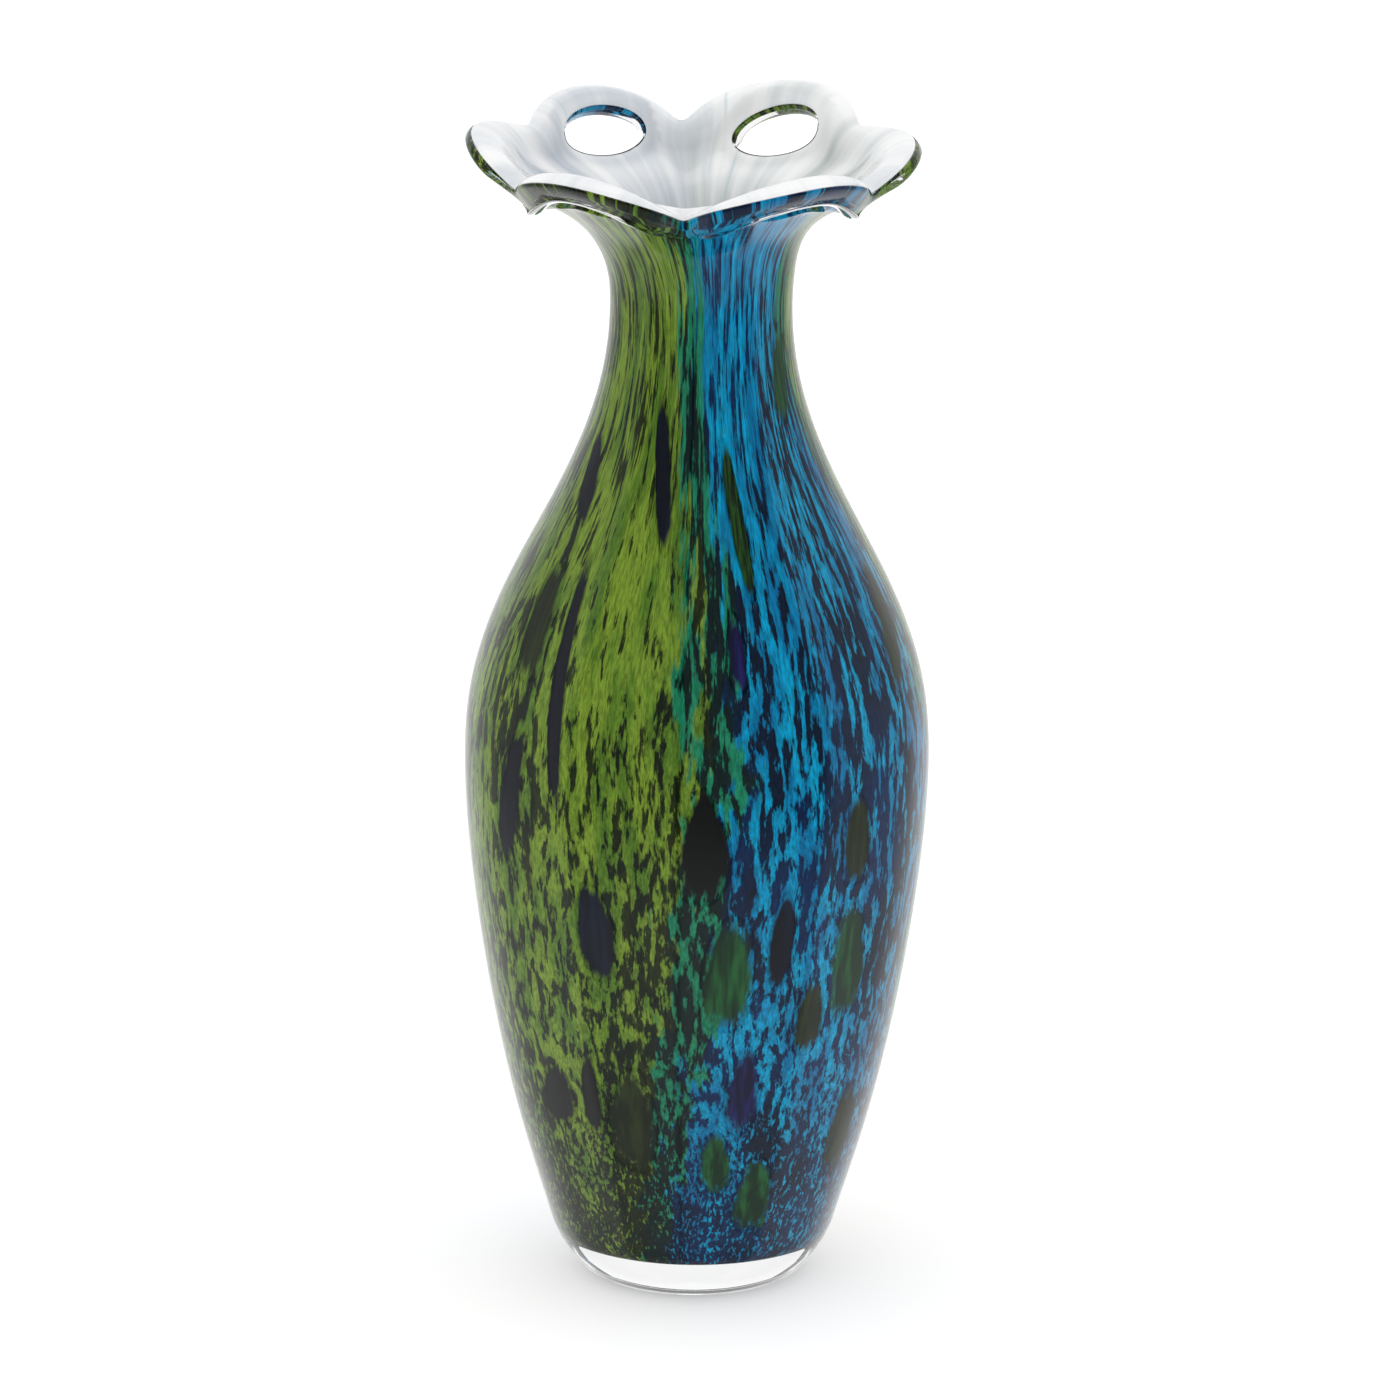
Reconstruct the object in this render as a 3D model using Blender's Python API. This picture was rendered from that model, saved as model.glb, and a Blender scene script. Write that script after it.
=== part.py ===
# A hand blown vase in cased glass: an opal lining, four colour overlays, a clear outer gather with a
# thick foot, and the melted drops of dark glass that lie between the colour and the clear.
# Metres, up is +Z, the front of the vase faces -Y. Azimuth is counted from the front towards +X.
import math

import bmesh
import bpy
import numpy as np
from mathutils import Matrix, Vector

# ---- overall sizes
TALL = 0.400            # foot to the tops of the petals
BELLY_RADIUS = 0.07816
BELLY_SHARE = 0.4375    # height of the widest ring, as a share of the height
NECK_RADIUS = 0.0305
NECK_SHARE = 0.850
HEEL_RADIUS = 0.0465    # where the wall leaves the foot
HEEL_UP = 0.014
FOOT_RADIUS = 0.031     # the flat the vase stands on
FOOT_GLASS = 0.015      # clear glass under the colour
RIM_DEPTH = 0.042       # throat to the tops of the petals
RIM_LEAN = -0.003       # the rim sits a little to the left of the body

# ---- the layers of the wall, from the inside out
LINING = 0.0018
OVERLAY = 0.0011
CASING = 0.0030
GAP = 0.0003            # between neighbouring pieces
LIP_SWELL = 0.0005      # each face of the wall swells this much before the rounded lip
LIP_ROUND = 0.0014      # and draws in this much at the very edge

# ---- the fullness of the wall between heel, belly and neck (0 = the narrower, 1 = the wider)
LOWER_SWELL = (0.391, 0.683, 0.889)
UPPER_SWELL = (0.956, 0.721, 0.369, 0.093)

# ---- the rim: reach is measured out from the neck, rise up from the throat
FRONT_VALLEY = dict(azimuth=-4, reach=0.0195, rise=0.0220, curl=-0.003)
RIGHT_FRONT_VALLEY = dict(azimuth=67, reach=0.0315, rise=0.0265, curl=-0.001)
RIGHT_BACK_VALLEY = dict(azimuth=120, reach=0.0345, rise=0.0320, curl=-0.001)
BACK_VALLEY = dict(azimuth=185, reach=0.0195, rise=0.0290, curl=-0.003)
LEFT_BACK_VALLEY = dict(azimuth=241, reach=0.0345, rise=0.0310, curl=-0.001)
LEFT_FRONT_VALLEY = dict(azimuth=293, reach=0.0315, rise=0.0265, curl=-0.001)
FRONT_RIGHT_PETAL = dict(azimuth=36, reach=0.0395, rise=0.0365, curl=0.0016)
RIGHT_PETAL = dict(azimuth=92, reach=0.0430, rise=0.0350, curl=-0.0015)
BACK_RIGHT_PETAL = dict(azimuth=143, reach=0.0395, rise=0.0400, curl=0.001)
BACK_LEFT_PETAL = dict(azimuth=217, reach=0.0385, rise=0.0380, curl=0.001)
LEFT_PETAL = dict(azimuth=268, reach=0.0445, rise=0.0380, curl=-0.0015)
FRONT_LEFT_PETAL = dict(azimuth=324, reach=0.0395, rise=0.0365, curl=0.0016)
RING_OF_PETALS = (
    (FRONT_VALLEY, FRONT_RIGHT_PETAL, RIGHT_FRONT_VALLEY, 8),
    (RIGHT_FRONT_VALLEY, RIGHT_PETAL, RIGHT_BACK_VALLEY, 6),
    (RIGHT_BACK_VALLEY, BACK_RIGHT_PETAL, BACK_VALLEY, 7),
    (BACK_VALLEY, BACK_LEFT_PETAL, LEFT_BACK_VALLEY, 7),
    (LEFT_BACK_VALLEY, LEFT_PETAL, LEFT_FRONT_VALLEY, 6),
    (LEFT_FRONT_VALLEY, FRONT_LEFT_PETAL, FRONT_VALLEY, 8),
)
ROOT_REACH = 0.0045     # the flare just above the throat
ROOT_RISE = 0.0094
FOLD_REACH = 0.0113     # where the flare turns up into the petals
FOLD_RISE = 0.0144
PETAL_SAG = 0.0040      # how far the root of a tall petal hangs below a straight line

# ---- the holes pierced through four of the petals
HOLE_WIDTH = 0.033
HOLE_HEIGHT = 0.0185
PIERCINGS = (
    dict(name="front_right", azimuth=30.5, from_lip=0.0172, tilt=-5),
    dict(name="back_right", azimuth=148.8, from_lip=0.0212, tilt=-20),
    dict(name="back_left", azimuth=214.1, from_lip=0.0192, tilt=4),
    dict(name="front_left", azimuth=327.5, from_lip=0.0174, tilt=5),
)

# ---- the melted drops, by azimuth (lower end, upper end), height of the middle, length and width
DROP_THICK = 0.0010
DROP_EDGE = 0.00035
DROP_LIFT = 0.0006      # of a drop's underside above the colour
DROPS = (
    dict(name="navy_drop_neck", colour="navy", azimuth=(-13, -24), up=0.290, long=0.052, wide=0.0057),
    dict(name="navy_drop_shoulder", colour="navy", azimuth=(-55, -66), up=0.284, long=0.033, wide=0.0080),
    dict(name="green_drop_flank", colour="olive", azimuth=(-53, -57), up=0.238, long=0.038, wide=0.0100),
    dict(name="navy_drop_long", colour="navy", azimuth=(-37, -44), up=0.220, long=0.085, wide=0.0062),
    dict(name="navy_drop_flank", colour="navy", azimuth=(-57, -51), up=0.181, long=0.044, wide=0.0105),
    dict(name="navy_drop_belly", colour="navy", azimuth=(-26, -28), up=0.140, long=0.034, wide=0.0136),
    dict(name="black_drop_belly", colour="black", azimuth=(2, 2), up=0.173, long=0.039, wide=0.0142),
    dict(name="black_drop_foot", colour="black", azimuth=(-48, -46), up=0.075, long=0.021, wide=0.0130),
    dict(name="black_drop_foot_thin", colour="black", azimuth=(-33, -33), up=0.079, long=0.029, wide=0.0060),
    dict(name="olive_drop_foot", colour="olive", azimuth=(-21, -18), up=0.071, long=0.036, wide=0.0129),
    dict(name="green_drop_belly", colour="green", azimuth=(8, 10), up=0.127, long=0.039, wide=0.0130),
    dict(name="navy_drop_belly_right", colour="navy", azimuth=(23, 24), up=0.138, long=0.033, wide=0.0092),
    dict(name="olive_drop_flank", colour="olive", azimuth=(45, 45), up=0.169, long=0.028, wide=0.0100),
    dict(name="green_drop_flank_right", colour="green", azimuth=(46, 45), up=0.126, long=0.040, wide=0.0120),
    dict(name="olive_drop_lower", colour="olive", azimuth=(34, 34), up=0.108, long=0.026, wide=0.0090),
    dict(name="violet_drop_lower", colour="violet", azimuth=(15, 15), up=0.083, long=0.031, wide=0.0098),
    dict(name="green_drop_foot", colour="green", azimuth=(23, 22), up=0.042, long=0.027, wide=0.0104),
    dict(name="green_drop_foot_small", colour="green", azimuth=(8, 7), up=0.056, long=0.022, wide=0.0081),
    dict(name="olive_drop_foot_right", colour="olive", azimuth=(57, 57), up=0.061, long=0.033, wide=0.0110),
    dict(name="speckled_drop_neck", colour="speckled", azimuth=(19, 13), up=0.276, long=0.053, wide=0.0049),
    dict(name="violet_drop_shoulder", colour="violet", azimuth=(12, 11), up=0.236, long=0.025, wide=0.0055),
    dict(name="olive_drop_shoulder", colour="olive", azimuth=(66, 76), up=0.234, long=0.044, wide=0.0085),
    dict(name="green_drop_neck", colour="green", azimuth=(54, 62), up=0.319, long=0.030, wide=0.0058),
)

GLASS = dict(
    opal=((0.82, 0.85, 0.87), 0.08, 1.0),
    green=((0.16, 0.26, 0.03), 0.06, 1.0),
    blue=((0.01, 0.16, 0.36), 0.06, 1.0),
    clear=((0.90, 0.95, 0.94), 0.03, 0.35),
    navy=((0.006, 0.010, 0.045), 0.05, 1.0),
    black=((0.006, 0.007, 0.007), 0.05, 1.0),
    olive=((0.045, 0.060, 0.010), 0.05, 1.0),
    violet=((0.030, 0.020, 0.150), 0.05, 1.0),
    speckled=((0.030, 0.110, 0.050), 0.15, 1.0),
)

THROAT = TALL - RIM_DEPTH
HALF_TURN = 180.0


# ---- curves
def smooth_curve(stations, values):
    """A natural cubic through the values."""
    xs = np.array(stations, float)
    ys = np.array(values, float)
    count = len(xs)
    step = np.diff(xs)
    left = np.eye(count)
    right = np.zeros((count,) + ys.shape[1:])
    for i in range(1, count - 1):
        left[i, i - 1] = step[i - 1]
        left[i, i] = 2 * (step[i - 1] + step[i])
        left[i, i + 1] = step[i]
        right[i] = 6 * ((ys[i + 1] - ys[i]) / step[i] - (ys[i] - ys[i - 1]) / step[i - 1])
    bend = np.linalg.solve(left, right)

    def at(x):
        i = min(max(int(np.searchsorted(xs, x)) - 1, 0), count - 2)
        h = step[i]
        a = xs[i + 1] - x
        b = x - xs[i]
        return (
            bend[i] * a**3 / (6 * h)
            + bend[i + 1] * b**3 / (6 * h)
            + (ys[i] / h - bend[i] * h / 6) * a
            + (ys[i + 1] / h - bend[i + 1] * h / 6) * b
        )

    return at


def body_outline():
    belly_up = TALL * BELLY_SHARE
    neck_up = TALL * NECK_SHARE
    heights = [HEEL_UP]
    radii = [HEEL_RADIUS]
    for i, share in enumerate(LOWER_SWELL):
        heights.append(HEEL_UP + (belly_up - HEEL_UP) * (i + 1) / 4)
        radii.append(HEEL_RADIUS + (BELLY_RADIUS - HEEL_RADIUS) * share)
    heights.append(belly_up)
    radii.append(BELLY_RADIUS)
    for i, share in enumerate(UPPER_SWELL):
        heights.append(belly_up + (neck_up - belly_up) * (i + 1) / 5)
        radii.append(NECK_RADIUS + (BELLY_RADIUS - NECK_RADIUS) * share)
    heights += [neck_up, THROAT, THROAT + 0.008]
    radii += [NECK_RADIUS, NECK_RADIUS + 0.0028, NECK_RADIUS + 0.0065]
    return smooth_curve(heights, radii)


OUTLINE = body_outline()
WALL_OUT = GAP + CASING  # from the colour's outer face to the outside of the vase


def seam_radius(z):
    """Radius of the colour's outer face, which every layer is measured from."""
    slope = (OUTLINE(z + 0.0001) - OUTLINE(z - 0.0001)) / 0.0002
    return OUTLINE(z) - WALL_OUT * math.sqrt(1 + slope * slope)


def lip_at(azimuth):
    """Reach, rise and curl of the rim's edge, blended between a valley and the petal beside it."""
    for low, petal, high, _ in RING_OF_PETALS:
        span = (high["azimuth"] - low["azimuth"]) % 360
        along = (azimuth - low["azimuth"]) % 360
        if along <= span:
            break
    crest = (petal["azimuth"] - low["azimuth"]) % 360
    if along <= crest:
        valley = low
        u = along / crest
    else:
        valley = high
        u = (span - along) / (span - crest)
    wide = 1 - (1 - u) ** 2.6
    tall = 1 - (1 - u) ** 2.0
    reach = valley["reach"] + (petal["reach"] - valley["reach"]) * wide
    rise = valley["rise"] + (petal["rise"] - valley["rise"]) * tall
    curl = valley["curl"] + (petal["curl"] - valley["curl"]) * tall
    return reach, rise, curl


def rim_curve(azimuth):
    """The wall from the neck up to the lip at one azimuth, as (radius, height) by distance."""
    reach, rise, curl = lip_at(azimuth)
    fold = np.array([NECK_RADIUS + FOLD_REACH, THROAT + FOLD_RISE])
    lip = np.array([NECK_RADIUS + reach, THROAT + rise])
    across = lip - fold
    sag = PETAL_SAG * max(0.0, (across[1] - 0.008) / 0.023)
    low = fold + across * 0.30 + np.array([0, -sag])
    mid = fold + across * 0.58 + np.array([0, -sag * 0.4])
    crest = lip + np.array([-0.0055, curl]) * min(1.0, np.hypot(*across) / 0.030)
    below = THROAT - 0.014
    neck = THROAT - 0.006
    points = np.array([
        [seam_radius(below), below],
        [seam_radius(neck), neck],
        [NECK_RADIUS + ROOT_REACH, THROAT + ROOT_RISE],
        fold, low, mid, crest, lip,
    ])
    run = np.concatenate([[0], np.cumsum(np.hypot(*np.diff(points, axis=0).T))])
    return smooth_curve(run, points), run[1], run[-1]


# ---- rings of the wall
BASE_RINGS = ((0.0110, 0.0), (0.0290, 0.0), (0.0390, 0.0008), (0.0438, 0.0050))  # radius, above FOOT_GLASS
BODY_SHARES = (0.080, 0.160, 0.255, 0.355, 0.4375, 0.520, 0.595, 0.660, 0.715, 0.765, 0.808, 0.850)
RIM_SHARES = (0.0, 0.20, 0.40, 0.58, 0.75, 0.91, 1.0)


def ring_points(azimuth):
    """(radius, height, outward normal) of the colour's outer face, ring by ring, foot to lip."""
    found = []
    scale = HEEL_RADIUS / 0.0465
    base = [np.array([r * scale, FOOT_GLASS + up]) for r, up in BASE_RINGS]
    body = [np.array([seam_radius(TALL * s), TALL * s]) for s in BODY_SHARES]
    curve, start, end = rim_curve(azimuth)
    rim = [curve(start + (end - start) * s) for s in RIM_SHARES]
    line = base + body + rim
    for i, point in enumerate(line):
        if i < 2:
            normal = np.array([0.0, -1.0])
        elif len(base) <= i < len(base) + len(body):
            z = point[1]
            slope = (seam_radius(z + 0.0002) - seam_radius(z - 0.0002)) / 0.0004
            normal = np.array([1.0, -slope]) / math.hypot(1, slope)
        elif i >= len(base) + len(body):
            s = start + (end - start) * RIM_SHARES[i - len(base) - len(body)]
            lead = curve(min(s + 0.0003, end)) - curve(s - 0.0003)
            normal = np.array([lead[1], -lead[0]]) / np.hypot(*lead)
        else:
            lead = line[i + 1] - line[i - 1]
            normal = np.array([lead[1], -lead[0]]) / np.hypot(*lead)
        found.append((point, normal))
    return found


def lean_at(z):
    k = min(max((z - (THROAT - 0.013)) / 0.040, 0.0), 1.0)
    return RIM_LEAN * k * k * (3 - 2 * k)


def turned(flat, azimuth):
    a = math.radians(azimuth)
    return Vector((flat[0] * math.sin(a) + lean_at(flat[1]), -flat[0] * math.cos(a), flat[1]))


AZIMUTHS = []
for low_valley, _, high_valley, pieces in RING_OF_PETALS:
    turn = (high_valley["azimuth"] - low_valley["azimuth"]) % 360
    for part_turn in range(pieces):
        AZIMUTHS.append(low_valley["azimuth"] + turn * part_turn / pieces)
AROUND = len(AZIMUTHS)
RINGS = [ring_points(azimuth) for azimuth in AZIMUTHS]
RING_COUNT = len(RINGS[0])


def lip_offset(ring, offset, side):
    """Faces that show swell a little before the lip, then draw in to round it."""
    if ring == RING_COUNT - 2:
        return offset + side * LIP_SWELL
    if ring == RING_COUNT - 1:
        return offset - side * LIP_ROUND
    return offset


def face_rows(offset, columns, side=0):
    """Points of one face of a layer: rows from the foot to the lip, one column for each azimuth."""
    rows = []
    for ring in range(RING_COUNT):
        row = []
        for column in columns:
            point, normal = RINGS[column][ring]
            row.append(turned(point + normal * lip_offset(ring, offset, side), AZIMUTHS[column]))
        rows.append(row)
    return rows


# ---- building
def glass(colour):
    rgb, rough, alpha = GLASS[colour]
    material = bpy.data.materials.get(colour + "_glass")
    if material is None:
        material = bpy.data.materials.new(colour + "_glass")
        material.use_nodes = True
        shader = material.node_tree.nodes["Principled BSDF"]
        shader.inputs["Base Color"].default_value = (*rgb, 1)
        shader.inputs["Roughness"].default_value = rough
        shader.inputs["Metallic"].default_value = 0
        shader.inputs["Alpha"].default_value = alpha
        material.diffuse_color = (*rgb, alpha)
    return material


def add_object(name, mesh_edit, colour, smooth=True):
    bmesh.ops.recalc_face_normals(mesh_edit, faces=mesh_edit.faces)
    mesh = bpy.data.meshes.new(name)
    mesh_edit.to_mesh(mesh)
    mesh_edit.free()
    obj = bpy.data.objects.new(name, mesh)
    bpy.context.scene.collection.objects.link(obj)
    if smooth:
        mesh.shade_smooth()
    if colour:
        mesh.materials.append(glass(colour))
    return obj


def grid_faces(edit, rows, around):
    """Two triangles for each cell, split the same way in every layer."""
    for low, high in zip(rows, rows[1:]):
        count = len(low)
        for i in range(count if around else count - 1):
            j = (i + 1) % count
            edit.faces.new((low[i], low[j], high[j]))
            edit.faces.new((low[i], high[j], high[i]))


def fan(edit, row, centre):
    hub = edit.verts.new(centre)
    for i in range(len(row)):
        edit.faces.new((hub, row[i], row[(i + 1) % len(row)]))


def cup(name, outer_rows, inner_rows, colour):
    """A closed vessel from its outer face and its inner face, joined round the lip."""
    edit = bmesh.new()
    outer = [[edit.verts.new(p) for p in row] for row in outer_rows]
    inner = [[edit.verts.new(p) for p in row] for row in inner_rows]
    grid_faces(edit, outer, True)
    grid_faces(edit, inner, True)
    grid_faces(edit, [outer[-1], inner[-1]], True)
    fan(edit, outer[0], (0, 0, outer_rows[0][0][2]))
    fan(edit, inner[0], (0, 0, inner_rows[0][0][2]))
    return add_object(name, edit, colour)


def panel(name, first, last, colour):
    """One overlay: the part of the colour layer between two seams."""
    columns = [i % AROUND for i in range(first, last + 1)]
    faces = []
    for offset in (0.0, -OVERLAY):
        rows = face_rows(offset, columns)
        for ring, row in enumerate(rows):
            for end, sign in ((0, 1), (-1, -1)):
                a = math.radians(AZIMUTHS[columns[end]])
                row[end] = row[end] + Vector((math.cos(a), math.sin(a), 0)) * sign * GAP / 2
        faces.append(rows)
    edit = bmesh.new()
    outer = [[edit.verts.new(p) for p in row] for row in faces[0]]
    inner = [[edit.verts.new(p) for p in row] for row in faces[1]]
    grid_faces(edit, outer, False)
    grid_faces(edit, inner, False)
    grid_faces(edit, [outer[-1], inner[-1]], False)
    grid_faces(edit, [outer[0], inner[0]], False)
    grid_faces(edit, [[row[0] for row in outer], [row[0] for row in inner]], False)
    grid_faces(edit, [[row[-1] for row in outer], [row[-1] for row in inner]], False)
    return add_object(name, edit, colour)


def wall_spot(azimuth, z, offset):
    """A point on the straight part of the wall, this far out from the colour's outer face."""
    slope = (seam_radius(z + 0.0002) - seam_radius(z - 0.0002)) / 0.0004
    normal = np.array([1.0, -slope]) / math.hypot(1, slope)
    return turned(np.array([seam_radius(z), z]) + normal * offset, azimuth)


def drop_rows(drop, grow, offset, thin):
    """One face of a drop, as rows across it from its lower end to its upper end."""
    along = max(4, int(round(drop["long"] / 0.016)) + 2)
    across = 4 if drop["wide"] > 0.008 else 3
    slope = (seam_radius(drop["up"] + 0.001) - seam_radius(drop["up"] - 0.001)) / 0.002
    half = (drop["long"] / 2 + grow) / math.hypot(1, slope)
    rows = []
    for i in range(along):
        u = -1 + 2 * i / (along - 1)
        z = drop["up"] + half * u
        share = math.sqrt(max(0.0, 1 - (abs(u) * 0.94) ** 2.6)) * (1 - 0.18 * u)
        width = drop["wide"] / 2 * share + grow
        low, high = drop["azimuth"]
        centre = low + (high - low) * (u + 1) / 2
        row = []
        for j in range(across):
            v = -1 + 2 * j / (across - 1)
            rim = i in (0, along - 1) or j in (0, across - 1)
            azimuth = centre + math.degrees(width * v / seam_radius(z))
            row.append(wall_spot(azimuth, z, offset - (thin if rim else 0.0)))
        rows.append(row)
    return rows


def slab(edit, under, over):
    """A closed slab between two faces of the same grid."""
    low = [[edit.verts.new(p) for p in row] for row in under]
    high = [[edit.verts.new(p) for p in row] for row in over]
    grid_faces(edit, low, False)
    grid_faces(edit, high, False)
    grid_faces(edit, [low[0], high[0]], False)
    grid_faces(edit, [low[-1], high[-1]], False)
    grid_faces(edit, [[r[0] for r in low], [r[0] for r in high]], False)
    grid_faces(edit, [[r[-1] for r in low], [r[-1] for r in high]], False)


def as_cutter(obj):
    obj.hide_render = True
    obj.display_type = "WIRE"
    return obj


def cut(obj, cutter, name):
    boolean = obj.modifiers.new(name, "BOOLEAN")
    boolean.operation = "DIFFERENCE"
    boolean.solver = "EXACT"
    boolean.object = cutter


def piercing_frame(spot):
    """Centre and axes of a hole: level across, up the petal, and through the wall."""
    def on_wall(azimuth, distance):
        curve, _, end = rim_curve(azimuth)
        return turned(curve(end - distance), azimuth)

    azimuth = spot["azimuth"]
    down = spot["from_lip"]
    centre = on_wall(azimuth, down)
    sideways = on_wall(azimuth + 3, down) - on_wall(azimuth - 3, down)
    upward = on_wall(azimuth, down - 0.002) - on_wall(azimuth, down + 0.002)
    through = sideways.cross(upward).normalized()
    a = math.radians(azimuth)
    level = Vector((math.cos(a), math.sin(a), 0))
    level = (level - through * level.dot(through)).normalized()
    rise = through.cross(level)
    t = math.radians(spot["tilt"])
    across = level * math.cos(t) + rise * math.sin(t)
    over = rise * math.cos(t) - level * math.sin(t)
    return centre, across, over, through


def piercer(spot):
    centre, across, over, through = piercing_frame(spot)
    bpy.ops.mesh.primitive_cylinder_add(vertices=18, radius=0.5, depth=0.030)
    obj = bpy.context.active_object
    obj.name = "piercer_" + spot["name"]
    obj.data.transform(Matrix.Diagonal((HOLE_WIDTH, HOLE_HEIGHT, 1, 1)))
    turn = Matrix((across, over, through)).transposed().to_4x4()
    obj.data.transform(Matrix.Translation(centre) @ turn)
    return as_cutter(obj)


for old in list(bpy.data.objects):
    bpy.data.objects.remove(old)

everywhere = list(range(AROUND))

# the lining, open at the mouth
lining = cup(
    "opal_lining",
    face_rows(-OVERLAY - GAP, everywhere),
    face_rows(-OVERLAY - GAP - LINING, everywhere, -1),
    "opal",
)

# the clear casing: its inner face follows the colour, its outer face runs on down to a solid foot
casing_outer = face_rows(GAP + CASING, everywhere, 1)
foot_scale = HEEL_RADIUS / 0.0465
foot_line = (
    (FOOT_RADIUS, 0.0),
    (0.0362 * foot_scale, 0.0012),
    (0.0410 * foot_scale, 0.0052),
    (HEEL_RADIUS, HEEL_UP),
    (OUTLINE(HEEL_UP + 0.008), HEEL_UP + 0.008),
)
foot_rows = [[turned(np.array(spot), azimuth) for azimuth in AZIMUTHS] for spot in foot_line]
casing = cup(
    "clear_casing",
    foot_rows + casing_outer[len(BASE_RINGS):],
    face_rows(GAP, everywhere),
    "clear",
)

# the four colour overlays, seam to seam
seams = [0]
for _, _, _, pieces in RING_OF_PETALS:
    seams.append(seams[-1] + pieces)
overlays = dict(
    front_right=panel("blue_overlay_front_right", seams[0], seams[1], "blue"),
    back_right=panel("green_overlay_back_right", seams[1], seams[3], "green"),
    back_left=panel("blue_overlay_back_left", seams[3], seams[4], "blue"),
    front_left=panel("green_overlay_front_left", seams[4], seams[6], "green"),
)

# the pierced petals
for spot in PIERCINGS:
    tool = piercer(spot)
    for layer in (lining, overlays[spot["name"]], casing):
        cut(layer, tool, "pierce_" + spot["name"])

# the melted drops and the seats they sink into
seats = bmesh.new()
for drop in DROPS:
    piece = bmesh.new()
    slab(
        piece,
        drop_rows(drop, 0.0, DROP_LIFT, 0.0),
        drop_rows(drop, 0.0, DROP_LIFT + DROP_THICK, DROP_THICK - DROP_EDGE),
    )
    add_object(drop["name"], piece, drop["colour"])
    slab(
        seats,
        drop_rows(drop, GAP, -0.0009, 0.0),
        drop_rows(drop, GAP, DROP_LIFT + DROP_THICK + GAP, DROP_THICK - DROP_EDGE),
    )
seat_tool = as_cutter(add_object("drop_seats", seats, None, smooth=False))
cut(casing, seat_tool, "drop_seats")
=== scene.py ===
import math
import bpy
import numpy as np
from mathutils import Matrix, Vector


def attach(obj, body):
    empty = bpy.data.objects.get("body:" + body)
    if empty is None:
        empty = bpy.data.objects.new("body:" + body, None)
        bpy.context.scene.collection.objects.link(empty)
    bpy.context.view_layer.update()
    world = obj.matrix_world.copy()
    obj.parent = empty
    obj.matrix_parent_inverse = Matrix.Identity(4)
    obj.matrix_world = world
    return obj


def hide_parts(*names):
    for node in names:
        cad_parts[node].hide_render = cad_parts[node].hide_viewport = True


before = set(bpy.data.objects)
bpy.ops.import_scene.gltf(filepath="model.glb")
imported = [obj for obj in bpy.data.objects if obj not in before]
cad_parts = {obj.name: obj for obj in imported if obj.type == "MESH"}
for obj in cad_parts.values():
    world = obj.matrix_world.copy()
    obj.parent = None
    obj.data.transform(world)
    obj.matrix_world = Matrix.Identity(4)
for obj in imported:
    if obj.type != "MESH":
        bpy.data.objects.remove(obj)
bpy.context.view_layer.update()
bpy.ops.object.select_all(action="DESELECT")
print("frame loaded:", len(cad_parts), "nodes")


# the shape of the wall, the same everywhere in metres
wall = dict(
    tall=0.400, bellyRadius=0.07816, bellyShare=0.4375, neckRadius=0.0305, neckShare=0.850,
    heelRadius=0.0465, heelUp=0.014, footGlass=0.015, rimDepth=0.042, rimLean=-0.003,
    lowerSwell=(0.391, 0.683, 0.889), upperSwell=(0.956, 0.721, 0.369, 0.093),
    inner=0.0032, casing=0.0033,  # from the colour's outer face to the inside and to the outside
)
throat = wall["tall"] - wall["rimDepth"]

# azimuth from the front towards +X, reach out from the neck, rise up from the throat, curl of the lip
valleys = (
    dict(azimuth=-4, reach=0.0202, rise=0.0190, curl=-0.0015),
    dict(azimuth=65, reach=0.0330, rise=0.0228, curl=0.0010),
    dict(azimuth=120, reach=0.0340, rise=0.0316, curl=-0.001),
    dict(azimuth=185, reach=0.0190, rise=0.0284, curl=-0.003),
    dict(azimuth=241, reach=0.0340, rise=0.0306, curl=-0.001),
    dict(azimuth=295, reach=0.0330, rise=0.0228, curl=0.0010),
)
petals = (
    dict(azimuth=36, reach=0.0405, rise=0.0335, curl=0.0016),
    dict(azimuth=92, reach=0.0439, rise=0.0350, curl=-0.0015),
    dict(azimuth=143, reach=0.0395, rise=0.0400, curl=0.0010),
    dict(azimuth=217, reach=0.0385, rise=0.0380, curl=0.0010),
    dict(azimuth=268, reach=0.0442, rise=0.0380, curl=-0.0015),
    dict(azimuth=324, reach=0.0405, rise=0.0335, curl=0.0016),
)
piercings = (
    dict(azimuth=32, fromLip=0.0200, tilt=-6, width=0.0300, height=0.0150),
    dict(azimuth=148.8, fromLip=0.0212, tilt=-20, width=0.0330, height=0.0185),
    dict(azimuth=214.6, fromLip=0.0194, tilt=4, width=0.0320, height=0.0185),
    dict(azimuth=325.5, fromLip=0.0200, tilt=6, width=0.0300, height=0.0150),
)
mesh = dict(
    around=240, rimRings=48, lipBand=0.0024, holeBand=0.0016, bodyStep=0.0045, neckStep=0.0032,
    lipSteps=(1, 0.80, 0.60, 0.42, 0.26, 0.13, 0.04, 0), holeSteps=(0.78, 0.58, 0.40, 0.25, 0.12, 0.04, 0),
)
# how a petal grows from its valleys to its crest, and the degrees that a valley is rounded over
petalForm = dict(wide=2.6, tall=2.0, softening=2.2)
# the section of the rim above the throat; front is what the two front petals add
flare = dict(
    rootReach=0.0045, rootRise=0.0094, rootFront=0.0014, foldReach=0.0113, foldRise=0.0144, foldFront=0.0042,
    sag=0.0040, sagFront=0.0026, lipBack=0.0055, frontTurns=(60, 95),
)


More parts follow.
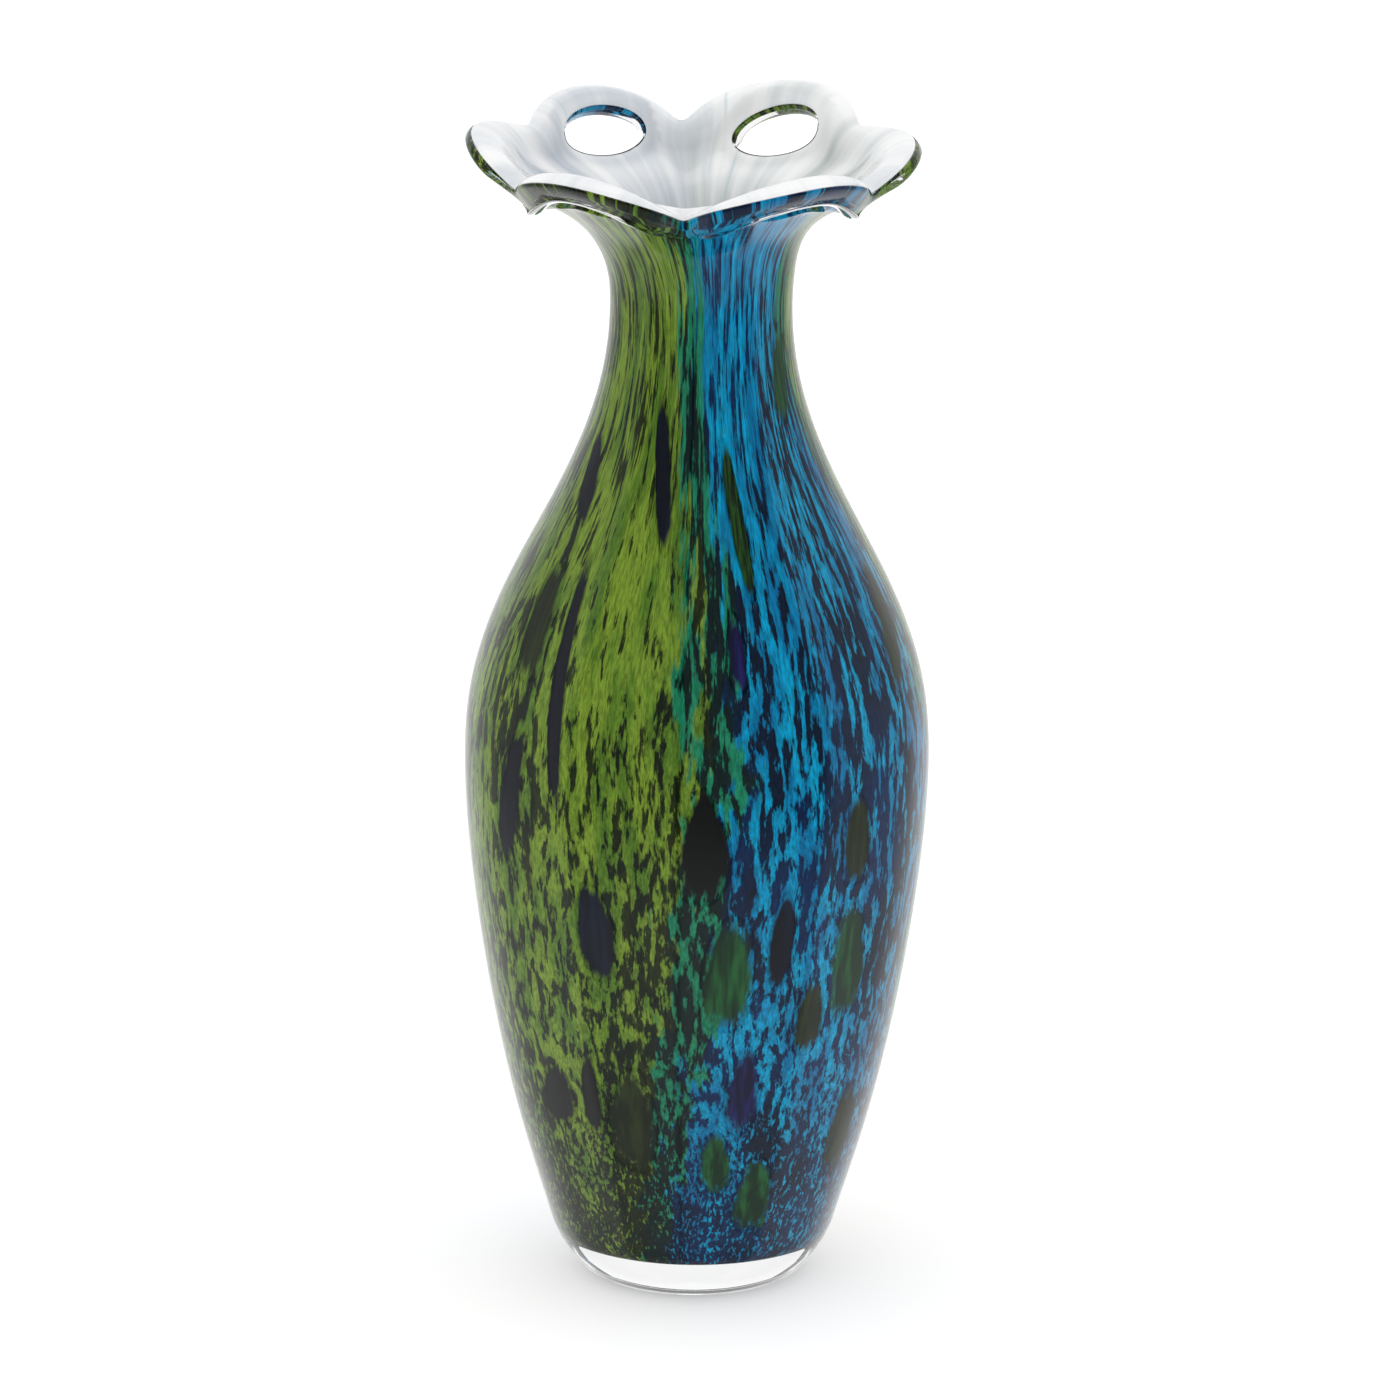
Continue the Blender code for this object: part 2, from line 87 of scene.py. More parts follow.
# a natural cubic through the values
def smoothCurve(stations, values):
    xs = np.array(stations, float)
    ys = np.array(values, float)
    if ys.ndim == 1:
        ys = ys[:, None]
    count = len(xs)
    step = np.diff(xs)
    left = np.eye(count)
    right = np.zeros((count, ys.shape[1]))
    for i in range(1, count - 1):
        left[i, i - 1] = step[i - 1]
        left[i, i] = 2 * (step[i - 1] + step[i])
        left[i, i + 1] = step[i]
        right[i] = 6 * ((ys[i + 1] - ys[i]) / step[i] - (ys[i] - ys[i - 1]) / step[i - 1])
    bend = np.linalg.solve(left, right)

    def at(x):
        x = np.asarray(x, float)
        i = np.clip(np.searchsorted(xs, x) - 1, 0, count - 2)
        h = step[i][..., None]
        a = (xs[i + 1] - x)[..., None]
        b = (x - xs[i])[..., None]
        return (
            bend[i] * a**3 / (6 * h) + bend[i + 1] * b**3 / (6 * h)
            + (ys[i] / h - bend[i] * h / 6) * a + (ys[i + 1] / h - bend[i + 1] * h / 6) * b
        )

    return at


def bodyOutline():
    w = wall
    bellyUp = w["tall"] * w["bellyShare"]
    neckUp = w["tall"] * w["neckShare"]
    heights = [w["heelUp"]]
    radii = [w["heelRadius"]]
    for i, share in enumerate(w["lowerSwell"]):
        heights.append(w["heelUp"] + (bellyUp - w["heelUp"]) * (i + 1) / 4)
        radii.append(w["heelRadius"] + (w["bellyRadius"] - w["heelRadius"]) * share)
    heights.append(bellyUp)
    radii.append(w["bellyRadius"])
    for i, share in enumerate(w["upperSwell"]):
        heights.append(bellyUp + (neckUp - bellyUp) * (i + 1) / 5)
        radii.append(w["neckRadius"] + (w["bellyRadius"] - w["neckRadius"]) * share)
    heights += [neckUp, throat, throat + 0.008]
    radii += [w["neckRadius"], w["neckRadius"] + 0.0028, w["neckRadius"] + 0.0065]
    return smoothCurve(heights, radii)


outline = bodyOutline()


# radius of the colour's outer face, which every layer is measured from
def seamRadius(z):
    z = np.asarray(z, float)
    slope = (outline(z + 0.0001) - outline(z - 0.0001))[..., 0] / 0.0002
    return outline(z)[..., 0] - wall["casing"] * np.sqrt(1 + slope * slope)


def ramp(x, low, high):
    k = np.clip((x - low) / (high - low), 0, 1)
    return k * k * (3 - 2 * k)


def lipTable(count):
    azimuths = np.arange(count) * 360 / count
    rows = []
    for azimuth in azimuths:
        for k, low in enumerate(valleys):
            high = valleys[(k + 1) % len(valleys)]
            span = (high["azimuth"] - low["azimuth"]) % 360
            along = (azimuth - low["azimuth"]) % 360
            if along <= span:
                break
        petal = petals[k]
        crest = (petal["azimuth"] - low["azimuth"]) % 360
        valley = low if along <= crest else high
        u = along / crest if along <= crest else (span - along) / (span - crest)
        wide = 1 - (1 - u) ** petalForm["wide"]
        tall = 1 - (1 - u) ** petalForm["tall"]
        rows.append([
            valley["reach"] + (petal["reach"] - valley["reach"]) * wide,
            valley["rise"] + (petal["rise"] - valley["rise"]) * tall,
            valley["curl"] + (petal["curl"] - valley["curl"]) * tall,
        ])
    rows = np.array(rows)
    turn = (azimuths + 180) % 360 - 180
    blur = np.exp(-0.5 * (turn / petalForm["softening"]) ** 2)
    blur /= blur.sum()
    return np.real(np.fft.ifft(np.fft.fft(rows, axis=0) * np.fft.fft(blur)[:, None], axis=0))


tableAround = 720
tableUp = 161


# the wall from the neck to the lip, by azimuth and by share of the way up
def rimTable():
    places = np.zeros((tableAround, tableUp, 2))
    leads = np.zeros((tableAround, tableUp, 2))
    runs = np.zeros(tableAround)
    below = throat - 0.014
    neck = throat - 0.006
    start = [[float(seamRadius(below)), below], [float(seamRadius(neck)), neck]]
    nr = wall["neckRadius"]
    for i, (reach, rise, curl) in enumerate(lipTable(tableAround)):
        turn = abs((i * 360 / tableAround + 180) % 360 - 180)
        front = 1 - float(ramp(turn, *flare["frontTurns"]))
        root = [nr + flare["rootReach"], throat + flare["rootRise"] + flare["rootFront"] * front]
        fold = np.array([nr + flare["foldReach"], throat + flare["foldRise"] + flare["foldFront"] * front])
        lip = np.array([nr + reach, throat + rise])
        across = lip - fold
        sag = flare["sag"] * max(0.0, (across[1] - 0.008) / 0.023) * (1 - front) - flare["sagFront"] * front
        low = fold + across * 0.30 + np.array([0, -sag])
        mid = fold + across * 0.58 + np.array([0, -sag * 0.4])
        crest = lip + np.array([-flare["lipBack"], curl]) * min(1.0, np.hypot(*across) / 0.030)
        points = np.array(start + [root, fold, low, mid, crest, lip])
        run = np.concatenate([[0], np.cumsum(np.hypot(*np.diff(points, axis=0).T))])
        curve = smoothCurve(run, points)
        shares = np.linspace(0, 1, tableUp)
        at = run[1] + (run[-1] - run[1]) * shares
        places[i] = curve(at)
        lead = curve(np.minimum(at + 0.0002, run[-1])) - curve(at - 0.0002)
        leads[i] = lead / np.hypot(lead[:, 0], lead[:, 1])[:, None]
        runs[i] = run[-1] - run[1]
    return places, leads, runs


rimPlaces, rimLeads, rimRuns = rimTable()
print("rim worked out")


def lookUp(table, azimuth, share):
    a = (np.asarray(azimuth) % 360) * tableAround / 360
    s = np.clip(np.asarray(share), 0, 1) * (tableUp - 1)
    i = np.floor(a).astype(int) % tableAround
    j = np.clip(np.floor(s).astype(int), 0, tableUp - 2)
    fa = (a - np.floor(a))[..., None]
    fs = (s - j)[..., None]
    i2 = (i + 1) % tableAround
    return (
        table[i, j] * (1 - fa) * (1 - fs) + table[i2, j] * fa * (1 - fs)
        + table[i, j + 1] * (1 - fa) * fs + table[i2, j + 1] * fa * fs
    )


def leanAt(z):
    k = np.clip((z - (throat - 0.013)) / 0.040, 0, 1)
    return wall["rimLean"] * k * k * (3 - 2 * k)


def turned(radius, z, azimuth):
    a = np.radians(azimuth)
    return np.stack([radius * np.sin(a) + leanAt(z), -radius * np.cos(a), z], -1)


def rimSpot(azimuth, share):
    flat = lookUp(rimPlaces, azimuth, share)
    return turned(flat[..., 0], flat[..., 1], azimuth)


# the sheet that every layer follows
def piercingFrame(spot):
    run = float(np.interp(spot["azimuth"] % 360, np.arange(tableAround) * 360 / tableAround, rimRuns))
    share = 1 - spot["fromLip"] / run
    centre = rimSpot(spot["azimuth"], share)
    sideways = rimSpot(spot["azimuth"] + 3, share) - rimSpot(spot["azimuth"] - 3, share)
    upward = rimSpot(spot["azimuth"], share + 0.03) - rimSpot(spot["azimuth"], share - 0.03)
    through = np.cross(sideways, upward)
    through /= np.linalg.norm(through)
    a = math.radians(spot["azimuth"])
    level = np.array([math.cos(a), math.sin(a), 0])
    level -= through * (level @ through)
    level /= np.linalg.norm(level)
    rise = np.cross(through, level)
    t = math.radians(spot["tilt"])
    return centre, level * math.cos(t) + rise * math.sin(t), rise * math.cos(t) - level * math.sin(t)


# slides points of the rim until they sit over these places on the hole's own plane
def slideTo(azimuth, share, goal, planeOf):
    azimuth = azimuth.copy()
    share = share.copy()
    for _ in range(7):
        here = planeOf(azimuth, share)
        dA = (planeOf(azimuth + 0.1, share) - here) / 0.1
        dS = (planeOf(azimuth, share + 0.002) - here) / 0.002
        det = dA[:, 0] * dS[:, 1] - dA[:, 1] * dS[:, 0]
        miss = goal - here
        moveA = (miss[:, 0] * dS[:, 1] - miss[:, 1] * dS[:, 0]) / det
        moveS = (dA[:, 0] * miss[:, 1] - dA[:, 1] * miss[:, 0]) / det
        azimuth += np.clip(moveA, -3, 3)
        share = np.clip(share + np.clip(moveS, -0.06, 0.06), 0, 0.999)
    return azimuth, share


floorRadii = (0.003, 0.009, 0.015, 0.021, 0.027)
heelCurve = smoothCurve(range(6), [
    (0.0300, 0.0150), (0.0362, 0.01505), (0.0412, 0.0163), (0.0447, 0.0198),
    (float(seamRadius(0.026)), 0.026), (float(seamRadius(0.034)), 0.034),
])
heelSteps = (0, 0.8, 1.5, 2.1, 2.7, 3.3, 3.9, 4.5)
footCurve = smoothCurve(range(8), [
    (0.0310, 0.0), (0.0346, 0.00055), (0.0380, 0.0025), (0.0411, 0.0056), (0.0440, 0.0097),
    (0.0464, 0.0140), (0.0484, 0.0190), (float(outline(0.0265)[0]), 0.0265),
])


def buildSheet():
    around = mesh["around"]
    base = [(r, wall["footGlass"]) for r in floorRadii] + [tuple(p) for p in heelCurve(heelSteps)]
    bodyUp = np.concatenate([
        np.arange(0.035, 0.250, mesh["bodyStep"]), np.arange(0.250, throat - 0.0075, mesh["neckStep"]),
    ])
    body = [(float(seamRadius(z)), z) for z in bodyUp]
    line = np.array(base + body + [(float(seamRadius(throat - 0.006)), throat - 0.006)])
    lead = np.gradient(line, axis=0)
    lead[: len(floorRadii)] = (1, 0)
    lead /= np.hypot(lead[:, 0], lead[:, 1])[:, None]
    lower = len(line)  # the last of these rings is the first of the rim
    azimuths = np.arange(around) * 360 / around
    runs = np.interp(azimuths, np.arange(tableAround + 1) * 360 / tableAround, np.append(rimRuns, rimRuns[0]))
    lipSteps = mesh["lipBand"] * np.array(mesh["lipSteps"])
    rings = []
    for j in range(1, mesh["rimRings"]):
        rings.append((1 - lipSteps[0] / runs) * j / mesh["rimRings"])
    for step in lipSteps:
        rings.append(1 - step / runs)
    total = lower + len(rings)
    azimuth = np.tile(azimuths, (total, 1))
    share = np.full((total, around), -1.0)
    share[lower - 1] = 0
    share[lower:] = np.array(rings)
    ringOf = np.tile(np.arange(total)[:, None], (1, around))
    number = np.arange(total * around).reshape(total, around)
    kept = np.ones((total - 1, around), bool)
    azimuth = azimuth.ravel()
    share = share.ravel()
    ringOf = ringOf.ravel()
    extraFaces = []
    lastRound = total - len(lipSteps)
    for spot in piercings:
        centre, across, over = piercingFrame(spot)

        def planeOf(a, s):
            away = rimSpot(a, s) - centre
            return np.stack([away @ across, away @ over], -1)

        half = np.array([spot["width"], spot["height"]]) / 2
        grown = half + mesh["holeBand"]
        turn = (azimuth - spot["azimuth"] + 180) % 360 - 180
        near = (share > 0.02) & (np.abs(turn) < 60) & (ringOf < total)
        plane = np.full((len(azimuth), 2), 9.0)  # far off, for the points that aren't near this hole
        plane[near] = planeOf(azimuth[near], share[near])
        level = np.hypot(plane[:, 0] / grown[0], plane[:, 1] / grown[1])
        grid = level[: total * around].reshape(total, around)
        inside = grid < 1.0
        cellIn = inside[:-1] | inside[1:] | np.roll(inside[:-1], -1, 1) | np.roll(inside[1:], -1, 1)
        if cellIn[lastRound:].any():
            print("a hole reaches the lip's rounding at azimuth", spot["azimuth"])
            cellIn[lastRound:] = False
        kept &= ~cellIn
        links = {}
        for j, i in zip(*np.nonzero(cellIn)):
            n = (i + 1) % around
            for (a, b, jj, ii) in (
                (number[j, i], number[j, n], j - 1, i), (number[j, n], number[j + 1, n], j, n),
                (number[j + 1, n], number[j + 1, i], j + 1, i), (number[j + 1, i], number[j, i], j, (i - 1) % around),
            ):
                if not cellIn[jj, ii]:
                    links[a] = b
        loop = [next(iter(links))]
        while links[loop[-1]] != loop[0]:
            loop.append(links[loop[-1]])
        loop = np.array(loop)
        angle = np.unwrap(np.arctan2(plane[loop, 1] / grown[1], plane[loop, 0] / grown[0]))
        way = np.sign(angle[-1] - angle[0])
        full = np.linspace(0, 2 * math.pi, len(loop), endpoint=False) * way
        offset = angle - full
        for _ in range(30):
            offset = (offset + np.roll(offset, 1) + np.roll(offset, -1)) / 3
        angle = full + offset
        plane[loop] = np.stack([grown[0] * np.cos(angle), grown[1] * np.sin(angle)], -1)
        fixed = np.zeros(len(azimuth), bool)
        fixed[loop] = True
        # the points just outside the hole's ring are evened out
        plain = slice(0, total * around)
        beside = (level[plain] < 1.8) & (level[plain] >= 1.0) & ~fixed[plain]
        loose = np.nonzero(beside & (ringOf[plain] < lastRound) & (ringOf[plain] > lower + 3))[0]
        rowOf, colOf = loose // around, loose % around
        neighbours = np.stack([
            number[rowOf - 1, colOf], number[rowOf + 1, colOf],
            number[rowOf, (colOf + 1) % around], number[rowOf, (colOf - 1) % around],
        ])
        for _ in range(16):
            plane[loose] = 0.4 * plane[loose] + 0.6 * plane[neighbours].mean(0)
        moved = np.concatenate([loop, loose])
        azimuth[moved], share[moved] = slideTo(azimuth[moved], share[moved], plane[moved], planeOf)
        previous = loop
        for step in mesh["holeBand"] * np.array(mesh["holeSteps"]):
            size = half + step
            goal = np.stack([size[0] * np.cos(angle), size[1] * np.sin(angle)], -1)
            a, s = slideTo(azimuth[previous], share[previous], goal, planeOf)
            first = len(azimuth)
            azimuth = np.append(azimuth, a)
            share = np.append(share, s)
            ringOf = np.append(ringOf, np.full(len(a), total + 5))  # above every ring of the wall
            ring = np.arange(first, first + len(a))
            for k in range(len(ring)):
                m = (k + 1) % len(ring)
                extraFaces.append((previous[k], previous[m], ring[m], ring[k]))
            previous = ring
    rows, cols = np.nonzero(kept)
    nxt = (cols + 1) % around
    quads = np.stack([number[rows, cols], number[rows, nxt], number[rows + 1, nxt], number[rows + 1, cols]], -1)
    quads = np.concatenate([quads, np.array(extraFaces)])
    flat = np.zeros((len(azimuth), 2))
    leads = np.zeros((len(azimuth), 2))
    low = share < 0
    flat[low] = line[ringOf[low]]
    leads[low] = lead[ringOf[low]]
    flat[~low] = lookUp(rimPlaces, azimuth[~low], share[~low])
    leads[~low] = lookUp(rimLeads, azimuth[~low], share[~low])
    leads /= np.hypot(leads[:, 0], leads[:, 1])[:, None]
    used = np.unique(quads)
    back = np.full(len(azimuth), -1)
    back[used] = np.arange(len(used))
    return dict(
        azimuth=azimuth[used], flat=flat[used], out=np.stack([leads[used, 1], -leads[used, 0]], -1),
        ring=ringOf[used], quads=back[quads], share=share[used],
    )


sheet = buildSheet()
print("sheet built:", len(sheet["quads"]), "faces")


# where each point of each layer lies
def unit(v):
    return v / np.maximum(np.linalg.norm(v, axis=-1, keepdims=True), 1e-12)


def facesNormals(points, quads):
    corner = points[quads]
    each = np.cross(corner[:, 2] - corner[:, 0], corner[:, 3] - corner[:, 1])
    total = np.zeros_like(points)
    for k in range(4):
        np.add.at(total, quads[:, k], each)
    return unit(total)


def boundaryOf(quads):
    ends = np.concatenate([quads[:, [0, 1]], quads[:, [1, 2]], quads[:, [2, 3]], quads[:, [3, 0]]])
    key = np.sort(ends, axis=1)
    _, first, count = np.unique(key, axis=0, return_index=True, return_counts=True)
    return ends[first[count == 1]]


azimuth = sheet["azimuth"]
quads = sheet["quads"]
spots = turned(sheet["flat"][:, 0], sheet["flat"][:, 1], azimuth)
signed = (azimuth + 180) % 360 - 180
turnFromFront = np.abs(signed)
bearing = np.radians(azimuth)
meridian = np.stack([
    sheet["out"][:, 0] * np.sin(bearing), -sheet["out"][:, 0] * np.cos(bearing), sheet["out"][:, 1],
], -1)
trueNormal = facesNormals(spots, quads)
inRim = sheet["share"] >= 0
normal = meridian.copy()
# beside the front petals' ends the wall folds sharply, so there the layers keep more to the upright direction
sharpFold = dict(turn=65, wide=8, plainUpright=0.45, moreUpright=0.35, mostStretch=1.3)
byFold = np.exp(-(((turnFromFront - sharpFold["turn"]) / sharpFold["wide"]) ** 2))
upright = sharpFold["plainUpright"] + sharpFold["moreUpright"] * byFold
normal[inRim] = unit(meridian * upright[:, None] + trueNormal * (1 - upright[:, None]))[inRim]
stretch = np.minimum(sharpFold["mostStretch"], 1 / np.maximum(0.5, (normal * trueNormal).sum(-1)))
stretch[~inRim] = 1
stretch = 1 + (stretch - 1) * (1 - byFold)


# the nearest of these points to each point of the sheet, and how far off it is
def nearestOf(others):
    which = np.zeros(len(spots), int)
    far = np.full(len(spots), 1.0)
    for first in range(0, len(spots), 2000):
        part = slice(first, first + 2000)
        away = np.linalg.norm(spots[part, None] - others[None], axis=-1)
        which[part] = away.argmin(1)
        far[part] = away.min(1)
    return which, far


openEdges = boundaryOf(quads)
openEdges = openEdges[spots[openEdges[:, 0], 2] > 0.3]  # the lip and the holes, not the floor's middle
edgePoints = spots[openEdges[:, 0]]
nearest, toEdge = nearestOf(edgePoints)
toEdge[openEdges[:, 0]] = 0
# the direction in the wall that leads away from each open edge
edgeRun = unit(spots[openEdges[:, 1]] - spots[openEdges[:, 0]])
edgeInward = unit(np.cross(trueNormal[openEdges[:, 0]], edgeRun))
inward = edgeInward[nearest]


# the lip is a thick rod at the front and thins to the left petal
lipThickness = dict(
    azimuth=(0, 60, 92, 140, 180, 220, 268, 300, 360),
    thick=(0.0074, 0.0070, 0.0064, 0.0064, 0.0066, 0.0062, 0.0050, 0.0066, 0.0074),
    grows=(0.35, 0.8),
)
lipThick = np.interp(azimuth % 360, lipThickness["azimuth"], lipThickness["thick"])
plainThick = wall["casing"] + wall["inner"]
thick = plainThick + (lipThick - plainThick) * ramp(sheet["share"], *lipThickness["grows"]) * inRim
middle = (wall["casing"] - wall["inner"]) / 2
# the colour is folded over the front lip, and a little way into the pierced holes
holeEdge = np.abs(sheet["share"][openEdges[:, 0]] - 1) > 1e-6
byHole = holeEdge[nearest]
folding = dict(hole=0.8, front=0.78, lessAtSide=0.28, sideTurns=(62, 80), lessAtBack=0.5, backTurns=(96, 118))
folded = np.where(
    byHole, folding["hole"],
    folding["front"] - folding["lessAtSide"] * ramp(turnFromFront, *folding["sideTurns"])
    - folding["lessAtBack"] * ramp(turnFromFront, *folding["backTurns"]),
)
# the front lip is rolled into a bead on its outer side, fattest where it ends beside the side petals
roll = dict(
    size=0.0030, ends=(56, 72), valley=-4, valleyWide=8, valleyLess=0.75, endMore=0.0012, endTurn=56, endWide=8,
    side=0.0010, sideFrom=(70, 80), sideTo=(100, 120), centre=0.0044, half=0.0047, reach=0.0091,
)
_, toLip = nearestOf(edgePoints[~holeEdge])
beadSize = (
    roll["size"] * (1 - ramp(turnFromFront, *roll["ends"]))
    * (1 - roll["valleyLess"] * np.exp(-(((signed - roll["valley"]) / roll["valleyWide"]) ** 2)))
    + roll["endMore"] * np.exp(-(((turnFromFront - roll["endTurn"]) / roll["endWide"]) ** 2))
    + roll["side"] * ramp(turnFromFront, *roll["sideFrom"]) * (1 - ramp(turnFromFront, *roll["sideTo"]))
)
bead = beadSize * np.sqrt(np.maximum(0, 1 - ((toLip - roll["centre"]) / roll["half"]) ** 2)) * (toLip < roll["reach"])
# the rolled lip ends in a soft knob at each side
knob = dict(turn=54, wide=6.5, down=0.0062, deep=0.0036, swell=0.0030)
knobbed = (
    knob["swell"] * np.exp(-(((turnFromFront - knob["turn"]) / knob["wide"]) ** 2))
    * np.exp(-(((toLip - knob["down"]) / knob["deep"]) ** 2)) * np.clip(toEdge / 0.002, 0, 1)
)
roundBand = np.where(byHole, 0.45, 1 + 0.5 * folded)
apex = middle - folded * thick / 2  # where the faces of the wall meet at an open edge


# offset of a face that starts at the apex of an open edge and rounds out to its full height
def rounded(full, band):
    k = np.clip(toEdge / (band * np.where(np.asarray(full) > apex, roundBand, 1 - 0.45 * folded)), 0, 1)
    return apex + (full - apex) * np.sqrt(np.maximum(0, 1 - (1 - k) ** 2))


# the outer side stands proud of the inner at the side petals' lips and over the back holes
overhang = dict(
    hole=0.0030, leftTilt=0.35, rightTilt=-0.6, lip=0.0022, lipFrom=(66, 76), lipTo=(104, 118),
    ease=0.0015, fades=0.008,
)
tilt = np.where(azimuth > valleys[3]["azimuth"], overhang["leftTilt"], overhang["rightTilt"])
upSide = np.array([0.0, 0.0, 1.0]) + np.outer(tilt, [1.0, 0, 0])
proud = np.where(
    byHole,
    overhang["hole"] * ramp((inward * unit(upSide)).sum(-1), 0.0, 0.6) * (turnFromFront > 120),
    overhang["lip"] * ramp(turnFromFront, *overhang["lipFrom"]) * (1 - ramp(turnFromFront, *overhang["lipTo"])),
)


# the points of a layer; pull draws it back from the open edges
def layerAt(offset, pull=0.0):
    share = np.clip((offset - apex) / (middle + overhang["ease"] - apex), 0, 1)
    out = proud * share * np.clip(1 - toEdge / overhang["fades"], 0, 1)
    shift = pull * np.clip(1 - toEdge / 0.006, 0, 1) - out
    return spots + normal * (offset * stretch)[:, None] + inward * shift[:, None]


# a closed body between two faces of the sheet; points that coincide at an open edge are shared
def slab(mask, upper, lower, poles=None):
    chosen = quads[mask]
    used = np.unique(chosen)
    index = np.full(len(spots), -1)
    index[used] = np.arange(len(used))
    top = index[chosen]
    same = np.linalg.norm(upper[used] - lower[used], axis=1) < 1e-7
    under = np.where(same, np.arange(len(used)), len(used) + np.cumsum(~same) - 1)
    points = np.concatenate([upper[used], lower[used][~same]])
    source = np.concatenate([used, used[~same]])
    if poles:
        points = np.concatenate([points, [[0, 0, poles[0]], [0, 0, poles[1]]]])
        source = np.append(source, [used[0], used[0]])
    faces = [tuple(f) for f in top] + [tuple(f) for f in under[top][:, ::-1]]
    for a, b in boundaryOf(top):
        if poles and np.hypot(*points[a][:2]) < 0.005:
            faces.append((b, a, len(points) - 2))
            faces.append((under[a], under[b], len(points) - 1))
        elif not (same[a] and same[b]):
            side = [b, a]
            if not same[a]:
                side.append(under[a])
            if not same[b]:
                side.append(under[b])
            faces.append(tuple(side))
    return points, faces, source


def addPiece(name, points, faces, stored=None, flatFrom=None):
    data = bpy.data.meshes.new(name)
    data.from_pydata([tuple(p) for p in points], [], [tuple(int(i) for i in f) for f in faces])
    for key, values in (stored or {}).items():
        values = np.asarray(values, float)
        if values.ndim == 1:
            layer = data.attributes.new(key, "FLOAT", "POINT")
            layer.data.foreach_set("value", values.astype(np.float32))
        else:
            layer = data.attributes.new(key, "FLOAT_VECTOR", "POINT")
            layer.data.foreach_set("vector", values.astype(np.float32).ravel())
    data.validate()
    data.update()
    piece = bpy.data.objects.new(name, data)
    bpy.context.scene.collection.objects.link(piece)
    data.shade_smooth()
    # the cut sides of a panel stay flat, so that they don't darken its edge
    for polygon in data.polygons[flatFrom:] if flatFrom else ():
        polygon.use_smooth = False
    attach(piece, "root")
    return piece


# how the colours were laid on the gather before it was blown out
lineUp = np.concatenate([[0.015], np.arange(0.02, throat, 0.004), [throat + 0.03, 0.42]])
drawn = dict(
    up=(0.0, 0.06, 0.11, 0.175, 0.22, 0.30, 0.35, 0.40), share=(1.3, 0.75, 0.46, 0.34, 0.30, 0.20, 0.17, 0.22),
    gatherRadius=0.075, seamWide=16,
)
stretchUp = np.interp(lineUp, drawn["up"], drawn["share"])
gatherUp = np.concatenate([[0], np.cumsum(np.diff(lineUp) * (stretchUp[1:] + stretchUp[:-1]) / 2)])
seamTurns = dict(
    up=(0.015, 0.040, 0.100, 0.143, 0.189, 0.223, 0.267, 0.316, 0.385),
    front=(-15, -12.5, -1.0, 1.5, 5.5, 4.5, 0.5, -6, -11),
)
otherSeams = (84, 184, 262)
neckSeam = dict(turn=64, between=(0.25, 0.34))  # the first of them comes forward at the neck


def gatherOf(azimuth, z, run):
    a = np.radians(azimuth)
    up = np.interp(z, lineUp, gatherUp) + run
    return np.stack([drawn["gatherRadius"] * np.sin(a), -drawn["gatherRadius"] * np.cos(a), up], -1)


# 1 well inside the blue, -1 well inside the green
def bluenessOf(azimuth, z):
    front = np.interp(z, seamTurns["up"], seamTurns["front"])
    best = np.full(len(azimuth), 999.0)
    sign = np.ones(len(azimuth))
    right = otherSeams[0] + (neckSeam["turn"] - otherSeams[0]) * ramp(z, *neckSeam["between"])
    for seam, blueAfter in ((front, 1), (right, -1), (otherSeams[1], 1), (otherSeams[2], -1)):
        turn = (azimuth - seam + 180) % 360 - 180
        closer = np.abs(turn) < best
        best = np.where(closer, np.abs(turn), best)
        sign = np.where(closer, np.sign(turn) * blueAfter, sign)
    return np.clip(best * sign / drawn["seamWide"], -1, 1)


# how much of the dark ground the flecks cover, more or less than usual: less towards the foot, on both flanks, at a
# spot on the belly and along the front seam, more on the front shoulders and at two other listed places
def coverOf(azimuth, z, blueness):
    turn = (azimuth + 180) % 360 - 180

    def spot(turns, up, wide, tall):
        return np.exp(-(((turn - turns) / wide) ** 2) - ((z - up) / tall) ** 2)

    return (
        -0.075 * (1 - ramp(z, 0.020, 0.090)) - 0.030 * (1 - ramp(z, 0.07, 0.15))
        + 0.060 * spot(-22, 0.235, 20, 0.055) + 0.045 * spot(28, 0.245, 16, 0.045)
        - 0.100 * spot(52, 0.170, 18, 0.060) + 0.035 * spot(28, 0.100, 14, 0.030)
        - 0.050 * spot(-62, 0.160, 14, 0.070) - 0.060 * spot(10, 0.150, 12, 0.025)
        - 0.085 * np.exp(-((blueness / 0.30) ** 2)) * ramp(z, 0.150, 0.200)
        + 0.030 * spot(-40, 0.325, 34, 0.045)
    )


rimRun = np.where(inRim, np.clip(sheet["share"], 0, 1) * 0.007, 0)
gather = gatherOf(azimuth, np.where(inRim, throat - 0.006, spots[:, 2]), rimRun)
blueness = bluenessOf(azimuth, spots[:, 2])


# materials
def linear(rgb):
    return tuple(((c / 255 + 0.055) / 1.055) ** 2.4 if c > 10 else c / 255 / 12.92 for c in rgb) + (1.0,)


